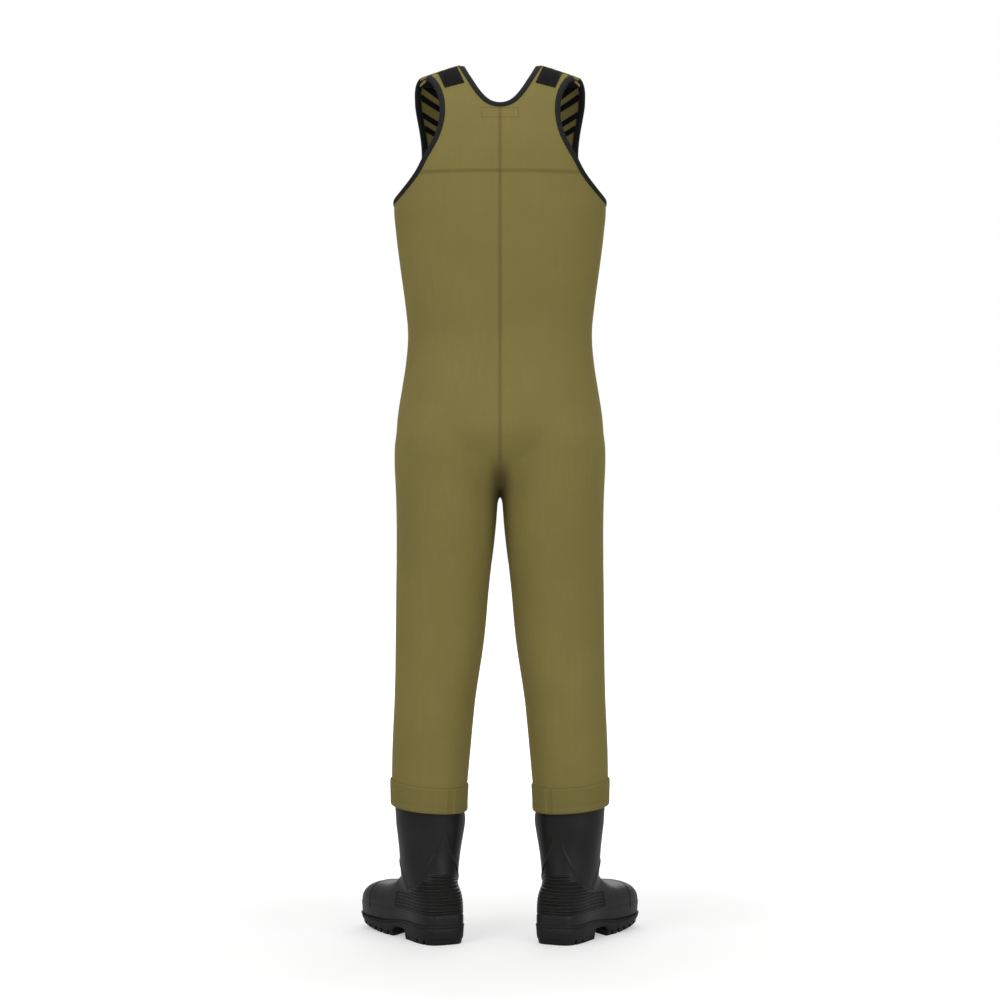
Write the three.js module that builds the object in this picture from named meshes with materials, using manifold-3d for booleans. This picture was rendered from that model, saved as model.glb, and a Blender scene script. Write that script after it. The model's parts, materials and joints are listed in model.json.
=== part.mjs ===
// Chest waders: a neoprene body with two legs, fastening shoulder straps and moulded rubber boots.
// Millimetres, +Z up. The soles stand on Z = 0, the wearer faces +Y, and the wearer's left is -X.
import * as THREE from 'three';
import Module from 'manifold-3d';
import { mergeVertices } from 'three/addons/utils/BufferGeometryUtils.js';

const wasm = await Module();
wasm.setup();

// ---- driving dimensions -------------------------------------------------------------------------

const FIT = 0.3;                 // gap between pieces that touch
const PANEL = 5;                 // neoprene thickness

// Heights of the garment above the floor.
const FLOOR_TO_CUFF = 228;       // lower edge of the leg cuff
const CUFF_HEIGHT = 46;
const KNEE = 480;
const CROTCH = 768;
const BODY_LENGTH = 732;         // crotch to the highest point, at the neck end of the shoulder
const HIP_HINGE = CROTCH + 82;
const SHOULDER = CROTCH + BODY_LENGTH;
const SEAM_YOKE = SHOULDER - 178; // horizontal seam across the upper back

// Lengths of leg that bend: above and below each hinge.
const HIP_BEND_TOP = CROTCH + 32;
const HIP_BEND_BOTTOM = CROTCH - 78;
const KNEE_BEND_TOP = KNEE + 97;
const KNEE_BEND_BOTTOM = KNEE - 65;

// Half widths and depths of the body: height, half width, depth to the back, depth to the front.
const BODY = [
  [CROTCH, 182, 116, 106],
  [CROTCH + 52, 181, 124, 112],
  [CROTCH + 102, 179.5, 122, 114],
  [CROTCH + 155, 172.5, 113, 112],
  [CROTCH + 207, 163, 103, 109],
  [CROTCH + 267, 157, 96, 107],
  [CROTCH + 337, 165.5, 103, 112],
  [CROTCH + 414, 176, 111, 117],
  [CROTCH + 492, 184, 112, 118],
  [SEAM_YOKE, 183, 108, 114],
];

const BOOT_X = 121.5;
const ANKLE = 64.3;              // half width of the leg at its lower edge

// One leg: height, centre's distance from the middle, half width, depth to the back and to the front.
const LEG = [
  [FLOOR_TO_CUFF, BOOT_X, ANKLE, ANKLE + 0.7, ANKLE - 0.3],
  [FLOOR_TO_CUFF + 44, 121, 65.5, 67, 65],
  [FLOOR_TO_CUFF + 74, 119, 67.5, 70, 66],
  [FLOOR_TO_CUFF + 126, 115.6, 69, 73, 67],
  [FLOOR_TO_CUFF + 178, 112, 69.5, 74, 69],
  [KNEE + 29, 103, 77, 75, 78],
  [KNEE + 133, 98, 81, 84, 86],
  [CROTCH - 52, 91, 87, 99, 94],
  [CROTCH, 91, 90, 108, 100],
  [HIP_HINGE, 86, 84, 100, 92],
];

const SQUARENESS = 2.3;          // exponent of the body's outline: 2 is an ellipse
const LEG_SQUARENESS = 2.1;
const SHOULDER_ARCH = 1.6;       // exponent of the arch from the back over the shoulder to the chest
const SHOULDER_SLOPE = 0.33;     // fall of the shoulder for each millimetre outwards
const NECK_POINT = 68;           // half width at which the shoulder starts to fall
const ARM_POINT = 148;           // half width at which the shoulder ends

// Edges in the X-Z view, from the middle or the top outwards, as half width and depth below the shoulder.
const drop = (points) => points.map(([x, depth]) => [x, SHOULDER - depth]);
const NECK_END = NECK_POINT - 1;
const BACK_NECK = drop([[0, 64], [17, 59], [33, 47], [NECK_POINT - 19, 26], [NECK_POINT - 8, 10], [NECK_END, -12]]);
const FRONT_NECK = drop([[0, 194], [30, 189], [50, 168], [60, 134], [NECK_POINT - 3, 90], [NECK_END, 40],
  [NECK_END, -12]]);
const BACK_ARM = drop([[197, 257], [183, 235], [154, 192], [137, 166], [122.5, 139], [110.6, 113],
  [105, 87], [106, 60], [115, 36], [147, 16], [150, -12]]);
const FRONT_ARM = drop([[197, 257], [183, 235], [158, 204], [140, 174], [135, 145], [138, 116],
  [143, 90], [147, 60], [148.5, 30], [150, -12]]);

const BINDING = 8;               // width of the edge binding
const BINDING_PROUD = 1.4;       // how far the binding stands off the neoprene

// Shoulder closure.
const STRAP_HINGE = SHOULDER - 160;        // chest line that each front strap folds about
const LAP_BOTTOM = SHOULDER - 34;         // the yoke's tongue ends here at the front, under the strap
const PATCH_THICK = 1.2;
const LAP_RISE = FIT + PATCH_THICK + FIT + PATCH_THICK + FIT;
const STRAP_TIP = 14;            // the front strap ends this far in front of the ridge
const LOOP_PATCH = drop([[110, 8], [78, -3], [60.5, 30], [93.5, 38.4]]);
const FRONT_PATCH_HALF = 19;
const FRONT_PATCH_CENTRE = 104;
const PATCH_RIDGE_HALF = 15;
const PATCH_RIDGE_CENTRE = 94;
const FRONT_PATCH_BACK = STRAP_TIP + 2;
const FRONT_PATCH_BOTTOM = LAP_BOTTOM + 4;

const GRIP_BAR = 10;             // height of an anti-slip bar
const GRIP_BARS = [113, 93, 66, 47].map((depth) => SHOULDER - depth);
const GRIP_SLOPE = 0.53;
const GRIP_THICK = 1;
const GRIP_MARGIN = 2;           // from the bars' ends to the bindings

const CUFF_THICK = 2.6;
const TAPE_THICK = 1.5;
const TAPE_HEIGHT = 36;
const TAPE_TOP_GAP = 2;

// Boots, in their own frame: the ankle on the Z axis and the toe towards +Y.
const TOE_OUT = THREE.MathUtils.degToRad(27);
const BOOT_WALL = 4;
const BOOT_TOP = FLOOR_TO_CUFF + 64;
const SOLE_TOP = 30;
const SHAFT = ANKLE - PANEL - 1; // half width of the boot's shaft, a snug fit in the leg
// Height, reach back, reach forward, half width of the shaft, share of the shaft's round outline.
const BOOT = [
  [SOLE_TOP, 74, 209, 50, 0],
  [48, 76, 212, 50, 0],
  [62, 75.5, 207, 49, 0.08],
  [75, 73, 190, 48, 0.2],
  [86, 70, 158, 47.5, 0.4],
  [97, 66, 122, 47.5, 0.65],
  [109, 62, 92, 48, 0.85],
  [124, 58, 73, 49, 1],
  [147, 56, 62, 51.5, 1],
  [172, 57, 58, 55, 1],
  [198, SHAFT + 0.7, SHAFT + 0.2, SHAFT + 0.2, 1],
  [FLOOR_TO_CUFF, SHAFT + 0.2, SHAFT, SHAFT, 1],
  [BOOT_TOP, SHAFT - 1.3, SHAFT - 1.3, SHAFT - 1.3, 1],
];
// Half width of the foot along its length: distance forward of the ankle, half width.
const FOOT_WIDTH = [[-80, 35], [-45, 39], [0, 36.5], [40, 37.5], [80, 43.5], [120, 50], [150, 51.5], [180, 50],
  [216, 46]];
const FOOT_SQUARENESS = 2.5;
const WELT = 3;                  // how far the midsole stands out round the upper
const FOXING_HEIGHT = 12;
const FOXING_THICK = 2.2;
const FOXING_SWELL = 2;          // the foot is this much wider above the sole than on it
const OUTSOLE_TOP = 22;
const ARCH_BOTTOM = 13;          // underside of the sole between the heel and the ball
const HEEL_FRONT = -6;
const BALL_BACK = 46;
const LUG_PITCH = 29;
const LUG_LENGTH = 19;
const LUG_COUNT = 6;
const INSOLE_THICK = 3.5;
const INSOLE_GAP = 2;

// Chest pocket, open at the top.
const POCKET_HALF = 102;
const POCKET_BOTTOM = SHOULDER - 360;
const POCKET_TOP = SHOULDER - 228;
const POCKET_DEPTH = 8;          // room for a hand
const POCKET_WALL = 3;
const POCKET_SEAM = 8;

// Hanger tab inside the back neck.
const TAB_HALF = 31;
const TAB_BOTTOM = SHOULDER - 98;
const TAB_TOP = SHOULDER - 81;
const TAB_THICK = 1.5;

const COLOUR = {
  neoprene: 0x82773f, binding: 0x26272a, loop: 0x141414, rubber: 0x2b2d2b, sole: 0x242624, tape: 0x1c1c1c,
  lining: 0x55564f,
};

// ---- geometry helpers ---------------------------------------------------------------------------

const material = (color, roughness = 0.85) => new THREE.MeshStandardMaterial({ color, roughness, metalness: 0 });
const LOOKS = {
  neoprene: material(COLOUR.neoprene, 0.9),
  binding: material(COLOUR.binding, 0.6),
  loop: material(COLOUR.loop, 1),
  rubber: material(COLOUR.rubber, 0.45),
  sole: material(COLOUR.sole, 0.6),
  tape: material(COLOUR.tape, 0.8),
  lining: material(COLOUR.lining, 0.9),
};

const waders = new THREE.Group();

function toSolid(geometry) {
  const bare = geometry.clone();
  for (const name of Object.keys(bare.attributes)) {
    if (name !== 'position') bare.deleteAttribute(name);
  }
  const merged = mergeVertices(bare, 1e-4);
  return new wasm.Manifold(new wasm.Mesh({
    numProp: 3,
    vertProperties: new Float32Array(merged.attributes.position.array),
    triVerts: new Uint32Array(merged.index.array),
  }));
}

function toGeometry(solid) {
  const mesh = solid.getMesh();
  const geometry = new THREE.BufferGeometry();
  geometry.setAttribute('position', new THREE.BufferAttribute(new Float32Array(mesh.vertProperties), 3));
  geometry.setIndex(new THREE.BufferAttribute(new Uint32Array(mesh.triVerts), 1));
  geometry.computeVertexNormals();
  return geometry;
}

// Adds one named piece; the largest body of a cut is the piece, and slivers under 1 cubic mm go.
function addPiece(name, solid, look) {
  const bodies = solid.decompose().sort((a, b) => b.volume() - a.volume());
  const mesh = new THREE.Mesh(toGeometry(bodies[0]), look);
  mesh.name = name;
  waders.add(mesh);
  if (bodies.length > 1 && bodies[1].volume() > 1) {
    throw new Error(`${name} is in ${bodies.length} pieces`);
  }
}

// A closed loft through rings of equally many points, listed counter-clockwise seen from the last ring.
function loft(rings) {
  const count = rings[0].length;
  const points = rings.flat();
  const faces = [];
  for (let r = 0; r + 1 < rings.length; r++) {
    for (let i = 0; i < count; i++) {
      const a = r * count + i;
      const b = r * count + (i + 1) % count;
      faces.push(a, b, b + count, a, b + count, a + count);
    }
  }
  for (const [ring, flip] of [[0, true], [rings.length - 1, false]]) {
    const centre = points.length;
    const middle = new THREE.Vector3();
    rings[ring].forEach((p) => middle.add(p));
    points.push(middle.divideScalar(count));
    for (let i = 0; i < count; i++) {
      const a = ring * count + i;
      const b = ring * count + (i + 1) % count;
      faces.push(...(flip ? [b, a, centre] : [a, b, centre]));
    }
  }
  const geometry = new THREE.BufferGeometry().setFromPoints(points);
  geometry.setIndex(faces);
  return toSolid(geometry);
}

function box(x0, x1, y0, y1, z0, z1) {
  const geometry = new THREE.BoxGeometry(x1 - x0, y1 - y0, z1 - z0);
  geometry.translate((x0 + x1) / 2, (y0 + y1) / 2, (z0 + z1) / 2);
  return toSolid(geometry);
}

const FAR = 400;
const OVER = 10;                 // how far a cutting solid runs past what it cuts
const JOIN = 1;                  // overlap of two solids that become one piece
const TOP = SHOULDER + 100;
const slice = (z0, z1) => box(-FAR, FAR, -FAR, FAR, z0, z1);
const half = (side, gap = FIT / 2) => (side < 0
  ? box(-FAR, -gap, -FAR, FAR, 0, TOP)
  : box(gap, FAR, -FAR, FAR, 0, TOP));

// An X-Z outline carried along Y.
function prism(outline, y0, y1) {
  const shape = new THREE.Shape(outline.map(([x, z]) => new THREE.Vector2(x, z)));
  const geometry = new THREE.ExtrudeGeometry(shape, { depth: y1 - y0, bevelEnabled: false });
  geometry.rotateX(Math.PI / 2);
  geometry.translate(0, y1, 0);
  return toSolid(geometry);
}

// An X-Y outline carried along Z.
function plate(outline, z0, z1) {
  const shape = new THREE.Shape(outline.map(([x, y]) => new THREE.Vector2(x, y)));
  const geometry = new THREE.ExtrudeGeometry(shape, { depth: z1 - z0, bevelEnabled: false });
  geometry.translate(0, 0, z0);
  return toSolid(geometry);
}

// A smooth table: the first column is the height, and the rest are read off a curve through its rows.
function readTable(table, height) {
  const last = table.length - 1;
  const at = THREE.MathUtils.clamp(height, table[0][0], table[last][0]);
  let row = 0;
  while (row < last - 1 && table[row + 1][0] < at) row++;
  const t = (at - table[row][0]) / (table[row + 1][0] - table[row][0]);
  const slope = (i, column) => {
    const low = table[Math.max(i - 1, 0)];
    const high = table[Math.min(i + 1, last)];
    return (high[column] - low[column]) / (high[0] - low[0]);
  };
  const span = table[row + 1][0] - table[row][0];
  return table[0].slice(1).map((_, k) => {
    const column = k + 1;
    const p0 = table[row][column];
    const p1 = table[row + 1][column];
    const m0 = slope(row, column) * span;
    const m1 = slope(row + 1, column) * span;
    return (2 * t ** 3 - 3 * t ** 2 + 1) * p0 + (t ** 3 - 2 * t ** 2 + t) * m0
      + (-2 * t ** 3 + 3 * t ** 2) * p1 + (t ** 3 - t ** 2) * m1;
  });
}

// One horizontal ring: a rounded oblong, deeper at the back than at the front.
function ring(z, centre, halfWidth, back, front, squareness, count) {
  return Array.from({ length: count }, (_, i) => {
    const angle = (i + 0.5) / count * 2 * Math.PI;
    const cos = Math.cos(angle);
    const sin = Math.sin(angle);
    const x = Math.sign(cos) * Math.abs(cos) ** (2 / squareness) * halfWidth;
    const y = Math.sign(sin) * Math.abs(sin) ** (2 / squareness) * (sin > 0 ? front : back);
    return new THREE.Vector3(centre + x, y, z);
  });
}

// A smooth curve through [half width, height] points, as a list of the same pairs.
function curve(points, steps) {
  const path = new THREE.SplineCurve(points.map(([x, z]) => new THREE.Vector2(x, z)));
  return path.getPoints(steps).map((p) => [p.x, p.y]);
}

// The same list moved sideways by `distance`, to the left of its direction.
function beside(points, distance) {
  return points.map(([x, z], i) => {
    const [ax, az] = points[Math.max(i - 1, 0)];
    const [bx, bz] = points[Math.min(i + 1, points.length - 1)];
    const length = Math.hypot(bx - ax, bz - az);
    return [x - (bz - az) / length * distance, z + (bx - ax) / length * distance];
  });
}

const mirrored = (points, side) => points.map(([x, z]) => [x * side, z]);

// ---- body and legs ------------------------------------------------------------------------------

const BODY_SIDES = 32;
const BODY_LEVELS = 8;
const ARCH_LEVELS = 9;
const ARCH_SHORT = 0.35;         // part of a level by which the arch stops short of the ridge
const LEG_SIDES = 20;
const LEG_LEVELS = 12;
const LEG_LOW = FLOOR_TO_CUFF - 40;
const LEG_HIGH = HIP_HINGE + 50;

// The body's outer surface moved out by `offset`, closed at both ends.
function bodySolid(offset) {
  const rings = [];
  const low = CROTCH - offset;
  for (let i = 0; i <= BODY_LEVELS; i++) {
    const z = low + (SEAM_YOKE - low) * i / BODY_LEVELS;
    const [width, back, front] = readTable(BODY, z);
    rings.push(ring(z, 0, width + offset, back + offset, front + offset, SQUARENESS, BODY_SIDES));
  }
  const [width, back, front] = readTable(BODY, SEAM_YOKE);
  const rise = SHOULDER - SEAM_YOKE + offset;
  for (let i = 1; i <= ARCH_LEVELS; i++) {
    const angle = i / (ARCH_LEVELS + ARCH_SHORT) * Math.PI / 2;
    const depth = Math.cos(angle) ** (2 / SHOULDER_ARCH);
    const height = Math.sin(angle) ** (2 / SHOULDER_ARCH);
    const loop = ring(SEAM_YOKE + rise * height, 0, width + offset, (back + offset) * depth,
      (front + offset) * depth, SQUARENESS, BODY_SIDES);
    loop.forEach((p) => {
      p.z -= SHOULDER_SLOPE * Math.max(Math.abs(p.x) - NECK_POINT, 0) * height ** 2;
    });
    rings.push(loop);
  }
  return loft(rings);
}

// One leg's outer surface moved out by `offset`, cut off at two heights. Its rings always lie at the
// same heights, so that layers made from it nest.
function legSolid(side, offset, bottom, top) {
  return loft(Array.from({ length: LEG_LEVELS + 1 }, (_, i) => {
    const z = LEG_LOW + (LEG_HIGH - LEG_LOW) * i / LEG_LEVELS;
    const [centre, width, back, front] = readTable(LEG, z);
    return ring(z, centre * side, width + offset, back + offset, front + offset, LEG_SQUARENESS, LEG_SIDES);
  })).intersect(slice(bottom, top));
}

const SIDES = [['left', -1], ['right', 1]];
const LEG_BOTTOM = FLOOR_TO_CUFF + 4;
const bodyOuter = bodySolid(0);
const bodyInner = bodySolid(-PANEL);

function makeShell() {
  let outer = bodyOuter;
  let inner = bodyInner;
  for (const [, side] of SIDES) {
    outer = outer.add(legSolid(side, 0, LEG_BOTTOM, HIP_HINGE));
    inner = inner.add(legSolid(side, -PANEL, LEG_BOTTOM - OVER, HIP_HINGE + OVER));
  }
  return outer.subtract(inner);
}

const shell = makeShell();

// Layer of the body between two offsets.
const layer = (low, high) => bodySolid(high).subtract(bodySolid(low));

// ---- openings -----------------------------------------------------------------------------------

const EDGE_STEPS = 15;
const backSide = box(-FAR, FAR, -FAR, -FIT / 2, 0, TOP);
const frontSide = box(-FAR, FAR, -FIT / 2, FAR, 0, TOP);

// The neck hole's X-Z outline, made larger by `grow`.
function neckHole(points, grow) {
  const right = beside(curve(points, EDGE_STEPS), -grow);
  right[0][0] = 0;
  const left = right.slice(1).map(([x, z]) => [-x, z]).reverse();
  return [...left, ...right];
}

// One armhole's X-Z outline, made larger by `grow`.
function armHole(points, side, grow) {
  const edge = beside(curve(points, EDGE_STEPS), grow);
  const outline = [[FAR, edge[0][1]], ...edge, [FAR, edge[edge.length - 1][1]]];
  const ordered = side > 0 ? outline.reverse() : outline;
  return mirrored(ordered, side);
}

function openings(side, grow) {
  const back = prism(neckHole(BACK_NECK, grow), -FAR, FAR).intersect(backSide);
  const front = prism(neckHole(FRONT_NECK, grow), -FAR, FAR).intersect(frontSide);
  const backArm = prism(armHole(BACK_ARM, side, grow), -FAR, FAR).intersect(backSide);
  const frontArm = prism(armHole(FRONT_ARM, side, grow), -FAR, FAR).intersect(frontSide);
  return { neck: back.add(front), arm: backArm.add(frontArm) };
}

// ---- body pieces --------------------------------------------------------------------------------

const above = (z) => slice(z, TOP);
const PANEL_EDGE = BINDING + FIT;

function addBody(name, side) {
  const { neck, arm } = openings(side, PANEL_EDGE);
  const own = shell.intersect(half(side)).subtract(neck).subtract(arm);
  const backTop = above(SEAM_YOKE - FIT / 2).intersect(backSide);
  const frontTop = above(STRAP_HINGE - FIT / 2).intersect(frontSide);
  const panel = own.intersect(slice(HIP_BEND_TOP + FIT / 2, TOP)).subtract(backTop).subtract(frontTop);
  addPiece(`body_panel_${name}`, panel, LOOKS.neoprene);

  const tongue = own.intersect(above(LAP_BOTTOM + FIT / 2)).intersect(box(-FAR, FAR, -JOIN, FAR, 0, TOP));
  const yoke = own.intersect(above(SEAM_YOKE + FIT / 2)).intersect(backSide).add(tongue);
  addPiece(`back_yoke_${name}`, yoke, LOOKS.neoprene);
}

// The edge strip of an opening: the band between its edge and the trimmed panel.
function edging(kind, side, low, high) {
  const inner = openings(side, 0)[kind];
  const outer = openings(side, BINDING)[kind];
  return layer(low, high).intersect(outer.subtract(inner));
}

const BINDING_LOW = -PANEL - BINDING_PROUD;

function addBindings() {
  const fixed = backSide.add(slice(0, STRAP_HINGE - FIT / 2).intersect(frontSide));
  for (const [name, side] of SIDES) {
    const neck = edging('neck', side, BINDING_LOW, BINDING_PROUD).intersect(half(side));
    const arm = edging('arm', side, BINDING_LOW, BINDING_PROUD);
    addPiece(`back_neck_binding_${name}`, neck.intersect(backSide), LOOKS.binding);
    addPiece(`front_neck_binding_${name}`, neck.intersect(fixed).intersect(frontSide), LOOKS.binding);
    addPiece(`armhole_binding_${name}`, arm.intersect(fixed), LOOKS.binding);
  }
}

// Region of the strap's lapped end, between two offsets from the body's surface.
function lapped(low, high, rise) {
  const lapStart = LAP_BOTTOM - FIT / 2 - PANEL;
  const lower = layer(low, high).intersect(slice(STRAP_HINGE + FIT / 2, LAP_BOTTOM - FIT / 2));
  const riser = layer(low, high + rise).intersect(slice(lapStart, LAP_BOTTOM - FIT / 2));
  const upper = layer(low + rise, high + rise).intersect(above(lapStart));
  return lower.add(riser).add(upper).intersect(box(-FAR, FAR, STRAP_TIP, FAR, 0, TOP));
}

function frontPatchRegion(side) {
  const centre = FRONT_PATCH_CENTRE * side;
  return box(centre - FRONT_PATCH_HALF, centre + FRONT_PATCH_HALF, FRONT_PATCH_BACK, FAR, FRONT_PATCH_BOTTOM, TOP);
}

function addStrap(name, side) {
  const rise = PANEL + LAP_RISE;
  const { neck, arm } = openings(side, PANEL_EDGE);
  const strap = lapped(-PANEL, 0, rise).intersect(half(side)).subtract(neck).subtract(arm);
  addPiece(`front_strap_${name}`, strap, LOOKS.neoprene);

  for (const [kind, edge] of [['neck', 'inner'], ['arm', 'outer']]) {
    const strip = openings(side, BINDING)[kind].subtract(openings(side, 0)[kind]);
    const binding = lapped(BINDING_LOW, BINDING_PROUD, rise).intersect(strip).intersect(half(side));
    addPiece(`strap_binding_${edge}_${name}`, binding, LOOKS.binding);
  }

  const hookTop = LAP_RISE - FIT;
  const hook = layer(hookTop - PATCH_THICK, hookTop).intersect(frontPatchRegion(side)).subtract(neck).subtract(arm);
  addPiece(`hook_patch_${name}`, hook, LOOKS.loop);

  GRIP_BARS.forEach((height, i) => {
    const centre = (NECK_POINT + ARM_POINT) / 2;
    const at = (x, up) => [x * side, height + GRIP_SLOPE * (x - centre) + up];
    const halfBar = GRIP_BAR / 2;
    const [near, out] = [NECK_POINT - OVER, ARM_POINT + OVER];
    const bar = prism([at(near, -halfBar), at(out, -halfBar), at(out, halfBar), at(near, halfBar)], STRAP_TIP, FAR);
    const low = -PANEL - FIT - GRIP_THICK;
    const clear = openings(side, PANEL_EDGE + GRIP_MARGIN);
    const piece = layer(low, low + GRIP_THICK).intersect(bar).intersect(slice(0, LAP_BOTTOM - FIT))
      .subtract(clear.neck).subtract(clear.arm);
    addPiece(`grip_bar_${i + 1}_${name}`, piece, LOOKS.loop);
  });
}

function addLoopPatch(name, side) {
  const back = prism(mirrored(LOOP_PATCH, side), -FAR, JOIN);
  const ridge = PATCH_RIDGE_CENTRE * side;
  const front = frontPatchRegion(side).add(box(
    ridge - PATCH_RIDGE_HALF, ridge + PATCH_RIDGE_HALF, -JOIN, FRONT_PATCH_BACK + JOIN, LAP_BOTTOM, TOP));
  const clear = openings(side, PANEL_EDGE);
  const patch = layer(FIT, FIT + PATCH_THICK).intersect(back.add(front)).subtract(clear.neck).subtract(clear.arm);
  addPiece(`loop_patch_${name}`, patch, LOOKS.loop);
}

function addPocket() {
  const region = box(-POCKET_HALF, POCKET_HALF, 0, FAR, POCKET_BOTTOM, POCKET_TOP);
  const mouth = POCKET_HALF - POCKET_SEAM;
  const hollow = box(-mouth, mouth, 0, FAR, POCKET_BOTTOM + POCKET_SEAM, POCKET_TOP + OVER);
  const outside = FIT + POCKET_DEPTH + POCKET_WALL;
  const pocket = layer(FIT, outside).intersect(region)
    .subtract(layer(-PANEL, FIT + POCKET_DEPTH).intersect(hollow));
  addPiece('chest_pocket', pocket, LOOKS.neoprene);
}

function addHangerTab() {
  const high = -PANEL - FIT;
  const tab = layer(high - TAB_THICK, high).intersect(box(-TAB_HALF, TAB_HALF, -FAR, 0, TAB_BOTTOM, TAB_TOP));
  addPiece('hanger_tab', tab, LOOKS.binding);
}

// ---- legs ---------------------------------------------------------------------------------------

function addLeg(name, side) {
  const own = shell.intersect(half(side));
  const cuts = [
    ['hip', HIP_BEND_BOTTOM, HIP_BEND_TOP],
    ['thigh', KNEE_BEND_TOP, HIP_BEND_BOTTOM],
    ['knee', KNEE_BEND_BOTTOM, KNEE_BEND_TOP],
    ['shin', LEG_BOTTOM, KNEE_BEND_BOTTOM],
  ];
  for (const [part, low, high] of cuts) {
    addPiece(`${part}_panel_${name}`, own.intersect(slice(low + FIT / 2, high - FIT / 2)), LOOKS.neoprene);
  }
  const cuff = legSolid(side, FIT + CUFF_THICK, FLOOR_TO_CUFF, FLOOR_TO_CUFF + CUFF_HEIGHT)
    .subtract(legSolid(side, FIT, FLOOR_TO_CUFF - OVER, FLOOR_TO_CUFF + CUFF_HEIGHT + OVER));
  addPiece(`cuff_${name}`, cuff, LOOKS.neoprene);
}

// ---- boots --------------------------------------------------------------------------------------

const BOOT_SIDES = 24;
const LEAST_STEP = 1;            // rings of a boot lie at least this far apart

// One horizontal ring of the boot, from foot-shaped at the sole to round at the shaft.
function bootRing(z, offset) {
  const [back, front, shaft, round] = readTable(BOOT, z);
  const squareness = THREE.MathUtils.lerp(FOOT_SQUARENESS, 2, round);
  return Array.from({ length: BOOT_SIDES }, (_, i) => {
    const angle = (i + 0.5) / BOOT_SIDES * 2 * Math.PI;
    const cos = Math.cos(angle);
    const sin = Math.sin(angle);
    const reach = (sin > 0 ? front : back) + offset;
    const y = Math.sign(sin) * Math.abs(sin) ** (2 / squareness) * reach;
    const [foot] = readTable(FOOT_WIDTH, y);
    const width = THREE.MathUtils.lerp(foot, shaft, round) + offset;
    return new THREE.Vector3(Math.sign(cos) * Math.abs(cos) ** (2 / squareness) * width, y, z);
  });
}

function bootSolid(offset, bottom, top) {
  const heights = BOOT.map((row) => row[0]).filter((z) => z > bottom + LEAST_STEP && z < top - LEAST_STEP);
  return loft([bottom, ...heights, top].map((z) => bootRing(z, offset)));
}

// A flat layer of the sole, with the foot's outline made larger by `offset`.
function soleLayer(offset, z0, z1) {
  const outline = bootRing(SOLE_TOP, offset).map((p) => [p.x, p.y]);
  return plate(outline, z0, z1);
}

function outsole() {
  let blocks = box(-FAR, FAR, -FAR, HEEL_FRONT, 0, ARCH_BOTTOM + JOIN);
  for (let i = 0; i < LUG_COUNT; i++) {
    const y = BALL_BACK + LUG_PITCH * i;
    blocks = blocks.add(box(-FAR, FAR, y, y + LUG_LENGTH, 0, ARCH_BOTTOM + JOIN));
  }
  return soleLayer(0, ARCH_BOTTOM, OUTSOLE_TOP).add(soleLayer(0, 0, ARCH_BOTTOM + JOIN).intersect(blocks));
}

function addBoot(name, side) {
  const place = (solid) => solid.rotate([0, 0, -side * TOE_OUT * 180 / Math.PI])
    .translate([side * BOOT_X, 0, 0]);
  const floor = SOLE_TOP + BOOT_WALL;
  const upper = bootSolid(0, SOLE_TOP, BOOT_TOP).subtract(bootSolid(-BOOT_WALL, floor, BOOT_TOP + OVER));
  addPiece(`boot_upper_${name}`, place(upper), LOOKS.rubber);
  const foxing = soleLayer(FIT + FOXING_THICK + FOXING_SWELL, SOLE_TOP, SOLE_TOP + FOXING_HEIGHT)
    .subtract(bootSolid(FIT, SOLE_TOP - OVER, SOLE_TOP + FOXING_HEIGHT + OVER));
  addPiece(`boot_foxing_${name}`, place(foxing), LOOKS.rubber);
  addPiece(`boot_midsole_${name}`, place(soleLayer(WELT, OUTSOLE_TOP + FIT, SOLE_TOP - FIT)), LOOKS.sole);
  addPiece(`boot_outsole_${name}`, place(outsole()), LOOKS.sole);
  const insole = soleLayer(-BOOT_WALL - INSOLE_GAP, floor + FIT, floor + FIT + INSOLE_THICK);
  addPiece(`boot_insole_${name}`, place(insole), LOOKS.lining);
  const inside = -BOOT_WALL - FIT;
  const tape = bootSolid(inside, BOOT_TOP - TAPE_HEIGHT, BOOT_TOP - TAPE_TOP_GAP)
    .subtract(bootSolid(inside - TAPE_THICK, BOOT_TOP - TAPE_HEIGHT - OVER, BOOT_TOP + OVER));
  addPiece(`boot_seal_tape_${name}`, place(tape), LOOKS.tape);
}

// ---- assembly -----------------------------------------------------------------------------------

addBindings();
addPocket();
addHangerTab();
for (const [name, side] of SIDES) {
  addBody(name, side);
  addStrap(name, side);
  addLoopPatch(name, side);
  addLeg(name, side);
  addBoot(name, side);
}

// The origin is on the floor, under the middle of the whole.
const whole = new THREE.Box3().setFromObject(waders);
waders.position.y = -(whole.min.y + whole.max.y) / 2;

export default waders;
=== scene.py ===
# %% [markdown]
# # Chest waders
# Waders are a neoprene suit glued to a pair of moulded rubber boots. This notebook dresses a plain measured
# model, the frame, with the cloth, tape and rubber that the real thing is made of. Everything is in metres.
# The wearer faces +Y, so the camera behind looks along +Y.

# %% Load the frame
import json
import math
import random

import bmesh
import bpy
from mathutils import Matrix, Vector
from mathutils.bvhtree import BVHTree

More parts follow.
